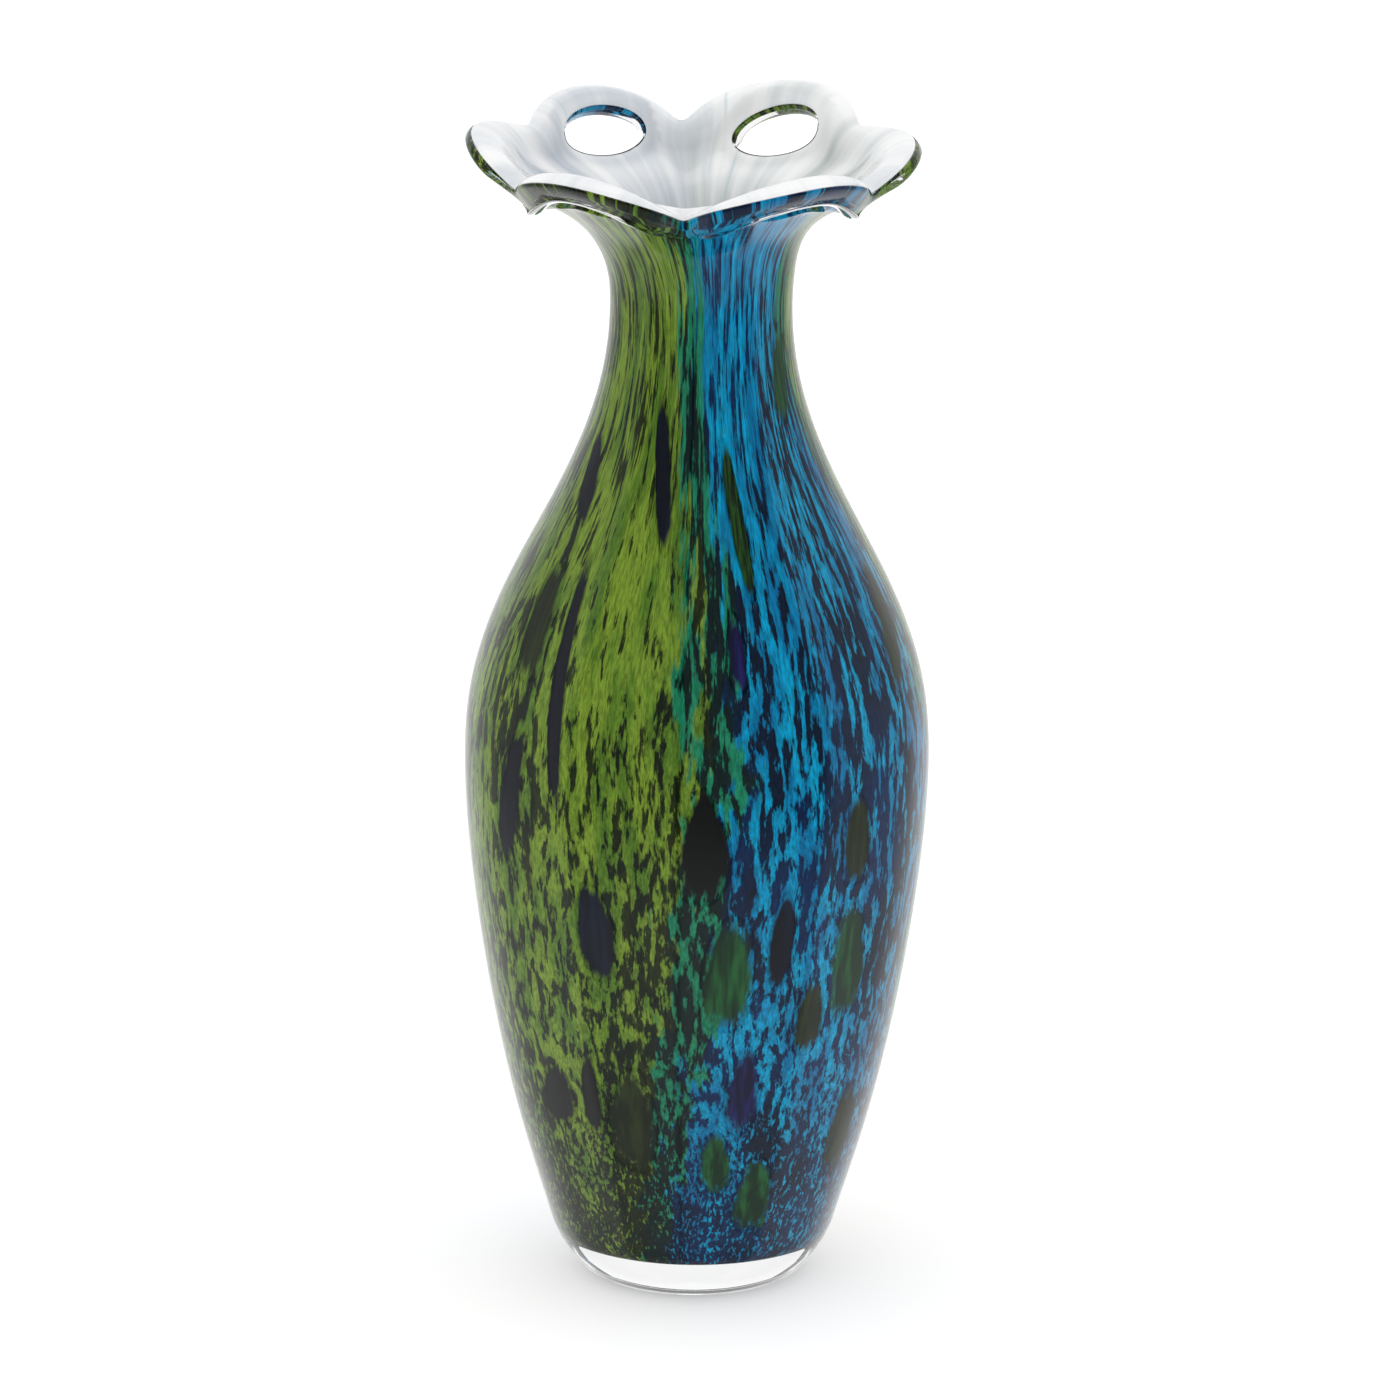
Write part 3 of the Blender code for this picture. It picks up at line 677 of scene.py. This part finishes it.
class Recipe:
    def __init__(self, name):
        self.material = bpy.data.materials.new(name)
        self.material.use_nodes = True
        self.tree = self.material.node_tree
        self.tree.nodes.clear()
        self.output = self.tree.nodes.new("ShaderNodeOutputMaterial")

    def add(self, kind, settings=None, **inputs):
        node = self.tree.nodes.new("ShaderNode" + kind)
        for key, value in (settings or {}).items():
            setattr(node, key, value)
        for key, value in inputs.items():
            self.put(node, key, value)
        return node

    def put(self, node, key, value):
        name = key.replace("_", " ")
        socket = node.inputs[int(key[1:])] if key[0] == "i" and key[1:].isdigit() else node.inputs[name]
        if isinstance(value, bpy.types.NodeSocket):
            self.tree.links.new(value, socket)
        elif isinstance(value, bpy.types.Node):
            self.tree.links.new(value.outputs[0], socket)
        else:
            socket.default_value = value

    def math(self, what, a, b=0.0, clamp=False):
        return self.add("Math", dict(operation=what, use_clamp=clamp), i0=a, i1=b).outputs[0]

    def fade(self, value, low, high, start=0.0, end=1.0):
        node = self.add("MapRange", dict(interpolation_type="SMOOTHSTEP"), i0=value)
        for i, v in enumerate((low, high, start, end)):
            node.inputs[i + 1].default_value = v
        return node.outputs[0]

    def mix(self, share, a, b, how="MIX"):
        node = self.add("Mix", dict(data_type="RGBA", blend_type=how))
        for i, v in ((0, share), (6, a), (7, b)):
            if isinstance(v, (tuple, float, int)):
                node.inputs[i].default_value = v
            else:
                self.tree.links.new(v, node.inputs[i])
        return node.outputs[2]

    def noise(self, vector, scale, detail=2.0, rough=0.5, lacunarity=2.0, twist=0.0):
        return self.add(
            "TexNoise", dict(noise_dimensions="3D"), Vector=vector, Scale=scale, Detail=detail,
            Roughness=rough, Lacunarity=lacunarity, Distortion=twist,
        )

    def stretched(self, vector, scale):
        return self.add("Mapping", dict(vector_type="POINT"), Vector=vector, Scale=scale)

    def stored(self, name, output="Fac"):
        return self.add("Attribute", dict(attribute_name=name)).outputs[output]

    def finish(self, **inputs):
        shader = self.add("BsdfPrincipled", **inputs)
        self.tree.links.new(shader.outputs[0], self.output.inputs[0])
        return shader


tone = dict(
    lime=linear((156, 190, 66)), limeDark=linear((108, 152, 50)), leaf=linear((56, 128, 50)),
    greenGap=linear((24, 36, 22)), greenGapWarm=linear((46, 58, 22)),
    sky=linear((0, 200, 250)), skyDark=linear((0, 146, 206)),
    blueGap=linear((4, 52, 104)), blueGapDark=linear((6, 32, 60)),
    teal=linear((40, 164, 122)), tealGap=linear((12, 40, 40)),
)


# flecks of crushed glass, pulled long where the wall was drawn up
def fritColour(r):
    g = r.stored("gather", "Vector")
    blue = r.stored("blueness")
    cover = r.stored("cover")
    wander = r.noise(g, 45.0, 2.0, 0.6).outputs["Color"]
    wandered = r.add("VectorMath", dict(operation="MULTIPLY_ADD"), i0=wander, i1=(0.010, 0.010, 0.004), i2=g)
    pulled = r.stretched(wandered.outputs[0], (1.0, 1.0, 0.72))
    coarse = r.noise(pulled, 340.0, 4.0, 0.58, 2.2).outputs[0]
    small = r.noise(pulled, 560.0, 4.0, 0.58, 2.2).outputs[0]
    up = r.add("SeparateXYZ", i0=g).outputs[2]
    flecks = r.mix(r.fade(up, 0.020, 0.070), small, coarse)
    broad = r.noise(pulled, 120.0, 3.0, 0.6).outputs[0]
    patches = r.noise(g, 30.0, 3.0, 0.55).outputs[0]
    fine = r.noise(pulled, 1300.0, 2.0, 0.6).outputs[0]
    seamNoise = r.noise(pulled, 95.0, 3.0, 0.7).outputs[0]
    side = r.math("ADD", blue, r.math("MULTIPLY", r.math("SUBTRACT", seamNoise, 0.5), 2.6))
    inBlue = r.fade(side, 0.22, 0.44)
    inGreen = r.math("SUBTRACT", 1.0, r.fade(side, -0.44, -0.22))
    lime = r.mix(r.fade(broad, 0.38, 0.62), tone["limeDark"], tone["lime"])
    sky = r.mix(r.fade(broad, 0.36, 0.62), tone["skyDark"], tone["sky"])
    bright = r.mix(inGreen, r.mix(inBlue, tone["teal"], sky), lime)
    darkGreen = r.mix(r.fade(broad, 0.4, 0.6), tone["greenGap"], tone["greenGapWarm"])
    darkBlue = r.mix(r.fade(patches, 0.4, 0.6), tone["blueGapDark"], tone["blueGap"])
    dark = r.mix(inGreen, r.mix(inBlue, tone["tealGap"], darkBlue), darkGreen)
    # the ground shows through more in some places than in others
    level = r.math("ADD", flecks, r.math("MULTIPLY", r.math("SUBTRACT", patches, 0.5), 0.30))
    # on the wall, cover also carries the painted shade under the thick lip
    level = r.math("ADD", level, cover)
    shown = r.fade(level, 0.440, 0.520)
    grain = r.fade(fine, 0.3, 0.7, 0.60, 1.22)
    colour = r.mix(shown, dark, bright)
    grey = r.add("CombineColor", i0=grain, i1=grain, i2=grain).outputs[0]
    return r.mix(1.0, colour, grey, "MULTIPLY"), g


def fritMaterial(name):
    r = Recipe(name)
    colour, _ = fritColour(r)
    r.finish(Base_Color=colour, Roughness=0.25, IOR=1.5, Specular_IOR_Level=0.1)
    return r.material


# a melted drop: its own colour with streaks inside, fraying into the flecks at its edge
def dropMaterial(name, look):
    r = Recipe(name)
    around, g = fritColour(r)
    rim = r.stored("rim")
    streak = r.noise(r.stretched(g, (1.0, 1.0, 0.35)), look["streaks"], 3.0, 0.6).outputs[0]
    inside = r.mix(r.fade(streak, 0.42, 0.66), linear(look["deep"]), linear(look["light"]))
    fray = r.noise(g, 260.0, 3.0, 0.65).outputs[0]
    edge = r.math("ADD", rim, r.math("MULTIPLY", r.math("SUBTRACT", fray, 0.5), look["fray"]))
    share = r.fade(edge, look["melts"], 0.98)
    r.finish(Base_Color=r.mix(share, inside, around), Roughness=0.2, IOR=1.5, Specular_IOR_Level=0.1)
    return r.material


def opalMaterial():
    r = Recipe("opal white glass")
    g = r.stored("gather", "Vector")
    cloud = r.noise(g, 55.0, 3.0, 0.6).outputs[0]
    streak = r.noise(g, 240.0, 2.0, 0.6).outputs[0]
    white = r.mix(r.fade(cloud, 0.38, 0.66), linear((252, 252, 252)), linear((226, 230, 234)))
    white = r.mix(r.fade(streak, 0.60, 0.76, 0.0, 0.45), white, linear((186, 210, 214)))
    # painted shade in the folds, low in the rim and around the holes: grey, tinted blue or green after the colour
    # behind that part of the lining
    through = r.mix(r.fade(r.stored("blueness"), -0.3, 0.3), linear((158, 170, 160)), linear((146, 160, 178)))
    paintedShade = r.math("MULTIPLY", r.stored("shade"), r.fade(cloud, 0.30, 0.62, 0.45, 1.0))
    white = r.mix(paintedShade, white, through)
    r.finish(Base_Color=white, Roughness=0.08, IOR=1.5, Coat_Weight=0.6, Coat_Roughness=0.03)
    return r.material


def clearMaterial():
    r = Recipe("clear glass")
    where = r.add("TexCoord").outputs["Object"]
    swirl = r.noise(r.stretched(where, (1.0, 1.0, 0.4)), 60.0, 2.0, 0.5, 2.0, 0.4).outputs[0]
    wavy = r.add("Bump", Strength=0.06, Distance=0.001, Height=swirl)
    tint = r.mix(r.fade(swirl, 0.35, 0.7), (1.0, 1.0, 1.0, 1.0), (0.975, 0.985, 0.985, 1.0))
    r.finish(Base_Color=tint, Roughness=0.0, IOR=1.5, Transmission_Weight=1.0, Normal=wavy)
    return r.material


# the lining, the overlays and the casing
layers = dict(
    setBack=0.0005, colour=0.0011, colourBand=0.0022, liningGap=0.0005, liningBand=0.0014,
    innerBand=0.0028, casingBand=0.0033, beadShare=0.75, floorGlass=(0.0155, 0.0182), footGlass=(0.0, 0.0159),
)
whole = np.ones(len(quads), bool)
rimShare = sheet["share"]
# painted shade: the flecks cover less under the thick lip, so the colour is darker there
paintedLipShade = 0.065 * (1 - ramp(toLip, 0.006, 0.011)) * (1 - 0.4 * ramp(turnFromFront, 100, 120))
# azimuth, width and depth of the painted shade in the folds inside the rim
shadedFolds = ((185, 9, 0.34), (120, 7, 0.75), (241, 7, 0.75), (104, 4, 0.35), (256, 4, 0.35), (-4, 7, 0.25))
# painted shade of the folds, fading out towards the throat and partly towards the lip
fold = sum(
    depth * np.exp(-(((azimuth - at + 180) % 360 - 180) / wide) ** 2) for at, wide, depth in shadedFolds
)
fold *= ramp(rimShare, 0.10, 0.40) * (1 - 0.75 * ramp(rimShare, 0.72, 0.98)) * inRim
# painted shade low in the rim, just above the throat
deep = 0.40 * ramp(rimShare, -0.2, 0.15) * (1 - ramp(rimShare, 0.15, 0.50)) * inRim
# painted shade in a ring a little way out from each hole's edge
holeRingShade = 0.30 * np.exp(-(((toEdge - 0.0045) / 0.003) ** 2)) * byHole
stored = dict(
    # cover has the painted shade under the lip taken off
    gather=gather, blueness=blueness, cover=coverOf(azimuth, spots[:, 2], blueness) - paintedLipShade,
    # shade holds the painted shade inside the rim
    shade=np.clip(fold + deep + holeRingShade, 0, 1),
)
scale = thick / plainThick


def storedFor(source):
    return {key: values[source] for key, values in stored.items()}


def makeSlab(name, mask, upper, lower, nodes, material, poles=None):
    points, faces, source = slab(mask, upper, lower, poles)
    piece = addPiece(name, points, faces, storedFor(source), None if poles else 2 * int(mask.sum()))
    piece.data.materials.append(material)
    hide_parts(*nodes)
    return piece


def fromMiddle(offset):
    return middle + (offset - middle) * scale


colourOffset = rounded(fromMiddle(0.0) + layers["beadShare"] * bead, layers["colourBand"])
colourOffset += layers["beadShare"] * knobbed
colourDepth = layers["colour"] * np.clip(toEdge / layers["colourBand"], 0, 1)
liningGap = layers["liningGap"] * np.clip(toEdge / layers["liningBand"], 0, 1)
colourTop = layerAt(colourOffset, layers["setBack"])
colourUnder = layerAt(colourOffset - colourDepth, layers["setBack"])
liningOuter = layerAt(colourOffset - liningGap, layers["setBack"])
liningInner = layerAt(rounded(fromMiddle(-wall["inner"]), layers["innerBand"]), layers["setBack"])

faceMiddle = spots[quads].mean(1)
faceTurn = np.degrees(np.arctan2(faceMiddle[:, 0], -faceMiddle[:, 1])) % 360
panels = (
    dict(name="blue_front_right_colour", node="blue_overlay_front_right", slot="blue_glass", turns=(-4, 67)),
    dict(name="green_back_right_colour", node="green_overlay_back_right", slot="green_glass", turns=(67, 185)),
    dict(name="blue_back_left_colour", node="blue_overlay_back_left", slot="blue_glass", turns=(185, 241)),
    dict(name="green_front_left_colour", node="green_overlay_front_left", slot="green_glass", turns=(241, 356)),
)
ring = sheet["ring"]
coloured = ring[quads].max(1) >= len(floorRadii) + 2  # the colour stops where the wall turns in to the floor
frit = {slot: fritMaterial(slot.replace("_", " ")) for slot in ("blue_glass", "green_glass")}
opal = opalMaterial()
clear = clearMaterial()
for panel in panels:
    low, high = panel["turns"]
    mask = coloured & ((faceTurn - low) % 360 < (high - low) % 360)
    makeSlab(panel["name"], mask, colourTop, colourUnder, [panel["node"]], frit[panel["slot"]])
print("overlays laid")

makeSlab(
    "white_lining", whole, liningOuter, liningInner, ["opal_lining"], opal, layers["floorGlass"],
)
print("lining made")

casingOuter = layerAt(rounded(fromMiddle(wall["casing"]) + bead, layers["casingBand"]) + knobbed)
underColour = np.minimum(colourOffset - layers["liningGap"], middle)
casingInner = layerAt(np.where(toEdge > 0.0015, underColour, apex))
# below, the casing leaves the sheet and becomes the foot
footRings = [(radius * 0.0310 / 0.0300, 0.0) for radius in floorRadii]
footRings += [tuple(footCurve(float(k))) for k in range(len(heelSteps))]
for k, (radius, up) in enumerate(footRings):
    level = ring == k
    casingOuter[level] = turned(np.full(level.sum(), radius), np.full(level.sum(), up), azimuth[level])
makeSlab(
    "clear_glass_and_foot", whole, casingOuter, casingInner, ["clear_casing"], clear,
    layers["footGlass"],
)
print("casing made")


# the melted drops
# spread widens and lengthens a drop; it melts into the flecks from this share of the way to its edge
looks = dict(
    navy=dict(
        slot="navy_glass", spread=1.05, deep=(12, 18, 36), light=(24, 34, 58),
        streaks=150.0, fray=0.5, melts=0.78,
    ),
    black=dict(
        slot="black_glass", spread=1.25, deep=(8, 10, 12), light=(16, 20, 24),
        streaks=120.0, fray=0.6, melts=0.74,
    ),
    olive=dict(
        slot="olive_glass", spread=1.35, deep=(30, 40, 20), light=(52, 66, 26),
        streaks=190.0, fray=0.7, melts=0.66,
    ),
    green=dict(
        slot="leaf_glass", spread=1.4, deep=(18, 60, 36), light=(44, 122, 62),
        streaks=190.0, fray=0.7, melts=0.66,
    ),
    violet=dict(
        slot="violet_glass", spread=1.25, deep=(20, 20, 62), light=(42, 40, 116),
        streaks=220.0, fray=0.7, melts=0.62,
    ),
    speckled=dict(
        slot="speckled_glass", spread=1.1, deep=(18, 30, 22), light=(52, 104, 36),
        streaks=900.0, fray=0.4, melts=0.8,
    ),
)
drops = (
    dict(node="navy_drop_neck", look="navy", azimuth=(-13, -24), up=0.290, long=0.052, wide=0.0057),
    dict(node="navy_drop_shoulder", look="navy", azimuth=(-55, -66), up=0.284, long=0.033, wide=0.0080),
    dict(node="green_drop_flank", look="olive", azimuth=(-53, -57), up=0.238, long=0.038, wide=0.0100),
    dict(node="navy_drop_long", look="navy", azimuth=(-37, -44), up=0.220, long=0.085, wide=0.0062),
    dict(node="navy_drop_flank", look="navy", azimuth=(-57, -51), up=0.181, long=0.044, wide=0.0105),
    dict(node="navy_drop_belly", look="navy", azimuth=(-26, -28), up=0.140, long=0.034, wide=0.0136),
    dict(node="black_drop_belly", look="black", azimuth=(2, 2), up=0.173, long=0.039, wide=0.0142, tip=0.75),
    dict(node="black_drop_foot", look="black", azimuth=(-48, -46), up=0.075, long=0.021, wide=0.0130),
    dict(node="black_drop_foot_thin", look="black", azimuth=(-33, -33), up=0.079, long=0.029, wide=0.0060),
    dict(node="olive_drop_foot", look="olive", azimuth=(-21, -18), up=0.071, long=0.036, wide=0.0129),
    dict(node="green_drop_belly", look="green", azimuth=(8, 10), up=0.127, long=0.039, wide=0.0130),
    dict(node="navy_drop_belly_right", look="navy", azimuth=(23, 24), up=0.138, long=0.033, wide=0.0092),
    dict(node="olive_drop_flank", look="olive", azimuth=(45, 45), up=0.169, long=0.028, wide=0.0100),
    dict(node="green_drop_flank_right", look="green", azimuth=(46, 45), up=0.126, long=0.040, wide=0.0120),
    dict(node="olive_drop_lower", look="olive", azimuth=(34, 34), up=0.108, long=0.026, wide=0.0090),
    dict(node="violet_drop_lower", look="violet", azimuth=(15, 15), up=0.083, long=0.031, wide=0.0098),
    dict(node="green_drop_foot", look="green", azimuth=(23, 22), up=0.042, long=0.027, wide=0.0104),
    dict(node="green_drop_foot_small", look="green", azimuth=(8, 7), up=0.056, long=0.022, wide=0.0081),
    dict(node="olive_drop_foot_right", look="olive", azimuth=(57, 57), up=0.061, long=0.033, wide=0.0110),
    dict(node="speckled_drop_neck", look="speckled", azimuth=(19, 13), up=0.276, long=0.053, wide=0.0049),
    dict(node="violet_drop_shoulder", look="violet", azimuth=(12, 11), up=0.236, long=0.025, wide=0.0055),
    dict(node="olive_drop_shoulder", look="olive", azimuth=(66, 76), up=0.234, long=0.044, wide=0.0085),
    dict(node="green_drop_neck", look="green", azimuth=(54, 62), up=0.319, long=0.030, wide=0.0058),
)


dropForm = dict(rings=9, steps=64, wobble=0.045, square=0.88, lift=0.00005, thick=0.0009, under=0.0003)


def addDrop(drop, number):
    rings = dropForm["rings"]
    steps = dropForm["steps"]
    look = looks[drop["look"]]
    low, high = drop["azimuth"]
    slope = (float(seamRadius(drop["up"] + 0.001)) - float(seamRadius(drop["up"] - 0.001))) / 0.002
    half = drop["long"] / 2 * (0.75 + 0.3 * look["spread"]) / math.hypot(1, slope)
    turn = np.arange(steps) * 2 * math.pi / steps
    wobble = 1 + sum(
        dropForm["wobble"] / (n ** 0.7) * np.sin(n * turn + number * 2.39 * n + n * n) for n in range(2, 8)
    )
    share = np.linspace(0, 1, rings)[1:]
    rho = np.concatenate([[0], np.repeat(share, steps)])

    # a circle a little squared and wavy
    def outlineOf(wave):
        return np.concatenate([[0], np.tile(np.sign(wave) * np.abs(wave) ** dropForm["square"] * wobble, rings - 1)])

    u = rho * outlineOf(np.sin(turn))
    v = rho * outlineOf(np.cos(turn))
    tip = drop.get("tip", 0.0)
    narrow = (1 - 0.18 * u) * (1 - tip * np.clip(u, 0, 1) ** 1.3)
    z = drop["up"] + half * u
    centre = low + (high - low) * (u + 1) / 2
    wide = drop["wide"] * look["spread"]
    place = centre + np.degrees(wide / 2 * v * narrow / seamRadius(z))
    flat = np.stack([seamRadius(z), z], -1)
    lead = np.stack([seamRadius(z + 0.0005) - seamRadius(z - 0.0005), np.full(len(z), 0.001)], -1)
    lead /= np.hypot(lead[:, 0], lead[:, 1])[:, None]
    a = np.radians(place)
    outwards = np.stack([lead[:, 1] * np.sin(a), -lead[:, 1] * np.cos(a), -lead[:, 0]], -1)
    surface = turned(flat[:, 0], flat[:, 1], place)
    crown = dropForm["lift"] + dropForm["thick"] * np.sqrt(np.maximum(0, 1 - rho**2.4))
    top = surface + outwards * crown[:, None]
    under = surface - outwards * dropForm["under"]
    count = len(rho)
    faces = []
    for k in range(steps):
        m = (k + 1) % steps
        faces.append((0, 1 + k, 1 + m))
        faces.append((count, count + 1 + m, count + 1 + k))
        for j in range(rings - 2):
            p, q = 1 + j * steps + k, 1 + j * steps + m
            faces.append((p, p + steps, q + steps, q))
            faces.append((count + p, count + q, count + q + steps, count + p + steps))
        p, q = 1 + (rings - 2) * steps + k, 1 + (rings - 2) * steps + m
        faces.append((p, count + p, count + q, q))
    both = np.concatenate([top, under])
    values = dict(
        gather=np.tile(gatherOf(place, z, 0.0), (2, 1)), blueness=np.tile(bluenessOf(place, z), 2),
        cover=np.tile(coverOf(place, z, bluenessOf(place, z)), 2), rim=np.tile(rho, 2),
    )
    piece = addPiece(drop["node"].replace("drop", "melt"), both, faces, values)
    piece.data.materials.append(dropMaterials[drop["look"]])
    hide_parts(drop["node"])


dropMaterials = {key: dropMaterial(look["slot"].replace("_", " "), look) for key, look in looks.items()}
for number, drop in enumerate(drops):
    addDrop(drop, number)
print("drops melted in")


# the room: a pale table, white all round behind, dark in front for the reflections
view = dict(rise=17.0, distance=4.0, lens=305.5, roll=0.57, aim=(0.0009, 0.0, 0.2008))
# front, side, back and below are what reflections see; turns are degrees from the front
room = dict(
    table=0.8, tableGlow=0.38, white=1.25, front=0.02, side=0.42, sideTurns=(64, 74),
    back=0.8, backTurns=(112, 150), below=0.4, belowSlopes=(-0.25, -0.60),
)


def buildTable():
    bpy.ops.mesh.primitive_plane_add(size=12, location=(0, 2, 0))
    table = bpy.context.active_object
    table.name = "table top"
    r = Recipe("pale table")
    grey = room["table"]
    r.finish(
        Base_Color=(grey, grey, grey, 1), Roughness=0.6, Specular_IOR_Level=0.0,
        Emission_Color=(1, 1, 1, 1), Emission_Strength=room["tableGlow"],
    )
    table.data.materials.append(r.material)
    table.visible_glossy = False


def buildLight():
    world = bpy.data.worlds.new("studio")
    bpy.context.scene.world = world
    world.use_nodes = True
    tree = world.node_tree
    tree.nodes.clear()

    def add(kind, *inputs, **settings):
        node = tree.nodes.new("ShaderNode" + kind)
        for key, value in settings.items():
            setattr(node, key, value)
        for i, value in enumerate(inputs):
            if isinstance(value, bpy.types.NodeSocket):
                tree.links.new(value, node.inputs[i])
            else:
                node.inputs[i].default_value = value
        return node

    def fade(value, between, start, end):
        return add("MapRange", value, *between, start, end, interpolation_type="SMOOTHSTEP").outputs[0]

    def radians(turns):
        return [math.radians(turn) for turn in turns]

    x, y, z = add("SeparateXYZ", add("TexCoord").outputs["Generated"]).outputs
    ahead = add("Math", y, -1.0, operation="MULTIPLY").outputs[0]
    turn = add("Math", add("Math", x, ahead, operation="ARCTAN2").outputs[0], operation="ABSOLUTE").outputs[0]
    sides = fade(turn, radians(room["sideTurns"]), room["front"], room["side"])
    behind = fade(turn, radians(room["backTurns"]), 0.0, room["back"])
    below = fade(z, room["belowSlopes"], 0.0, room["below"])
    strength = add("Math", add("Math", sides, behind).outputs[0], below).outputs[0]
    dim = add("Background")
    tree.links.new(strength, dim.inputs[1])
    white = add("Background")
    white.inputs[1].default_value = room["white"]
    # a ray that has passed into glass counts as a mirror ray too, and it has to see the white
    path = add("LightPath")
    mirror = add(
        "Math", path.outputs["Is Glossy Ray"], path.outputs["Is Transmission Ray"],
        operation="SUBTRACT", use_clamp=True,
    )
    both = add("MixShader", mirror.outputs[0], white.outputs[0], dim.outputs[0])
    add("OutputWorld", both.outputs[0])
    bpy.context.scene.view_settings.view_transform = "Standard"


def buildCamera():
    data = bpy.data.cameras.new("camera")
    data.lens = view["lens"]
    data.sensor_width = 36
    data.clip_end = 50
    camera = bpy.data.objects.new("camera", data)
    bpy.context.scene.collection.objects.link(camera)
    rise = math.radians(view["rise"])
    aim = Vector(view["aim"])
    camera.location = aim + Vector((0, -math.cos(rise), math.sin(rise))) * view["distance"]
    look = (aim - camera.location).to_track_quat("-Z", "Y").to_matrix().to_4x4()
    roll = Matrix.Rotation(math.radians(view["roll"]), 4, "Z")
    camera.matrix_world = Matrix.Translation(camera.location) @ look @ roll
    bpy.context.scene.camera = camera


buildTable()
buildLight()
buildCamera()
print("room and camera set")
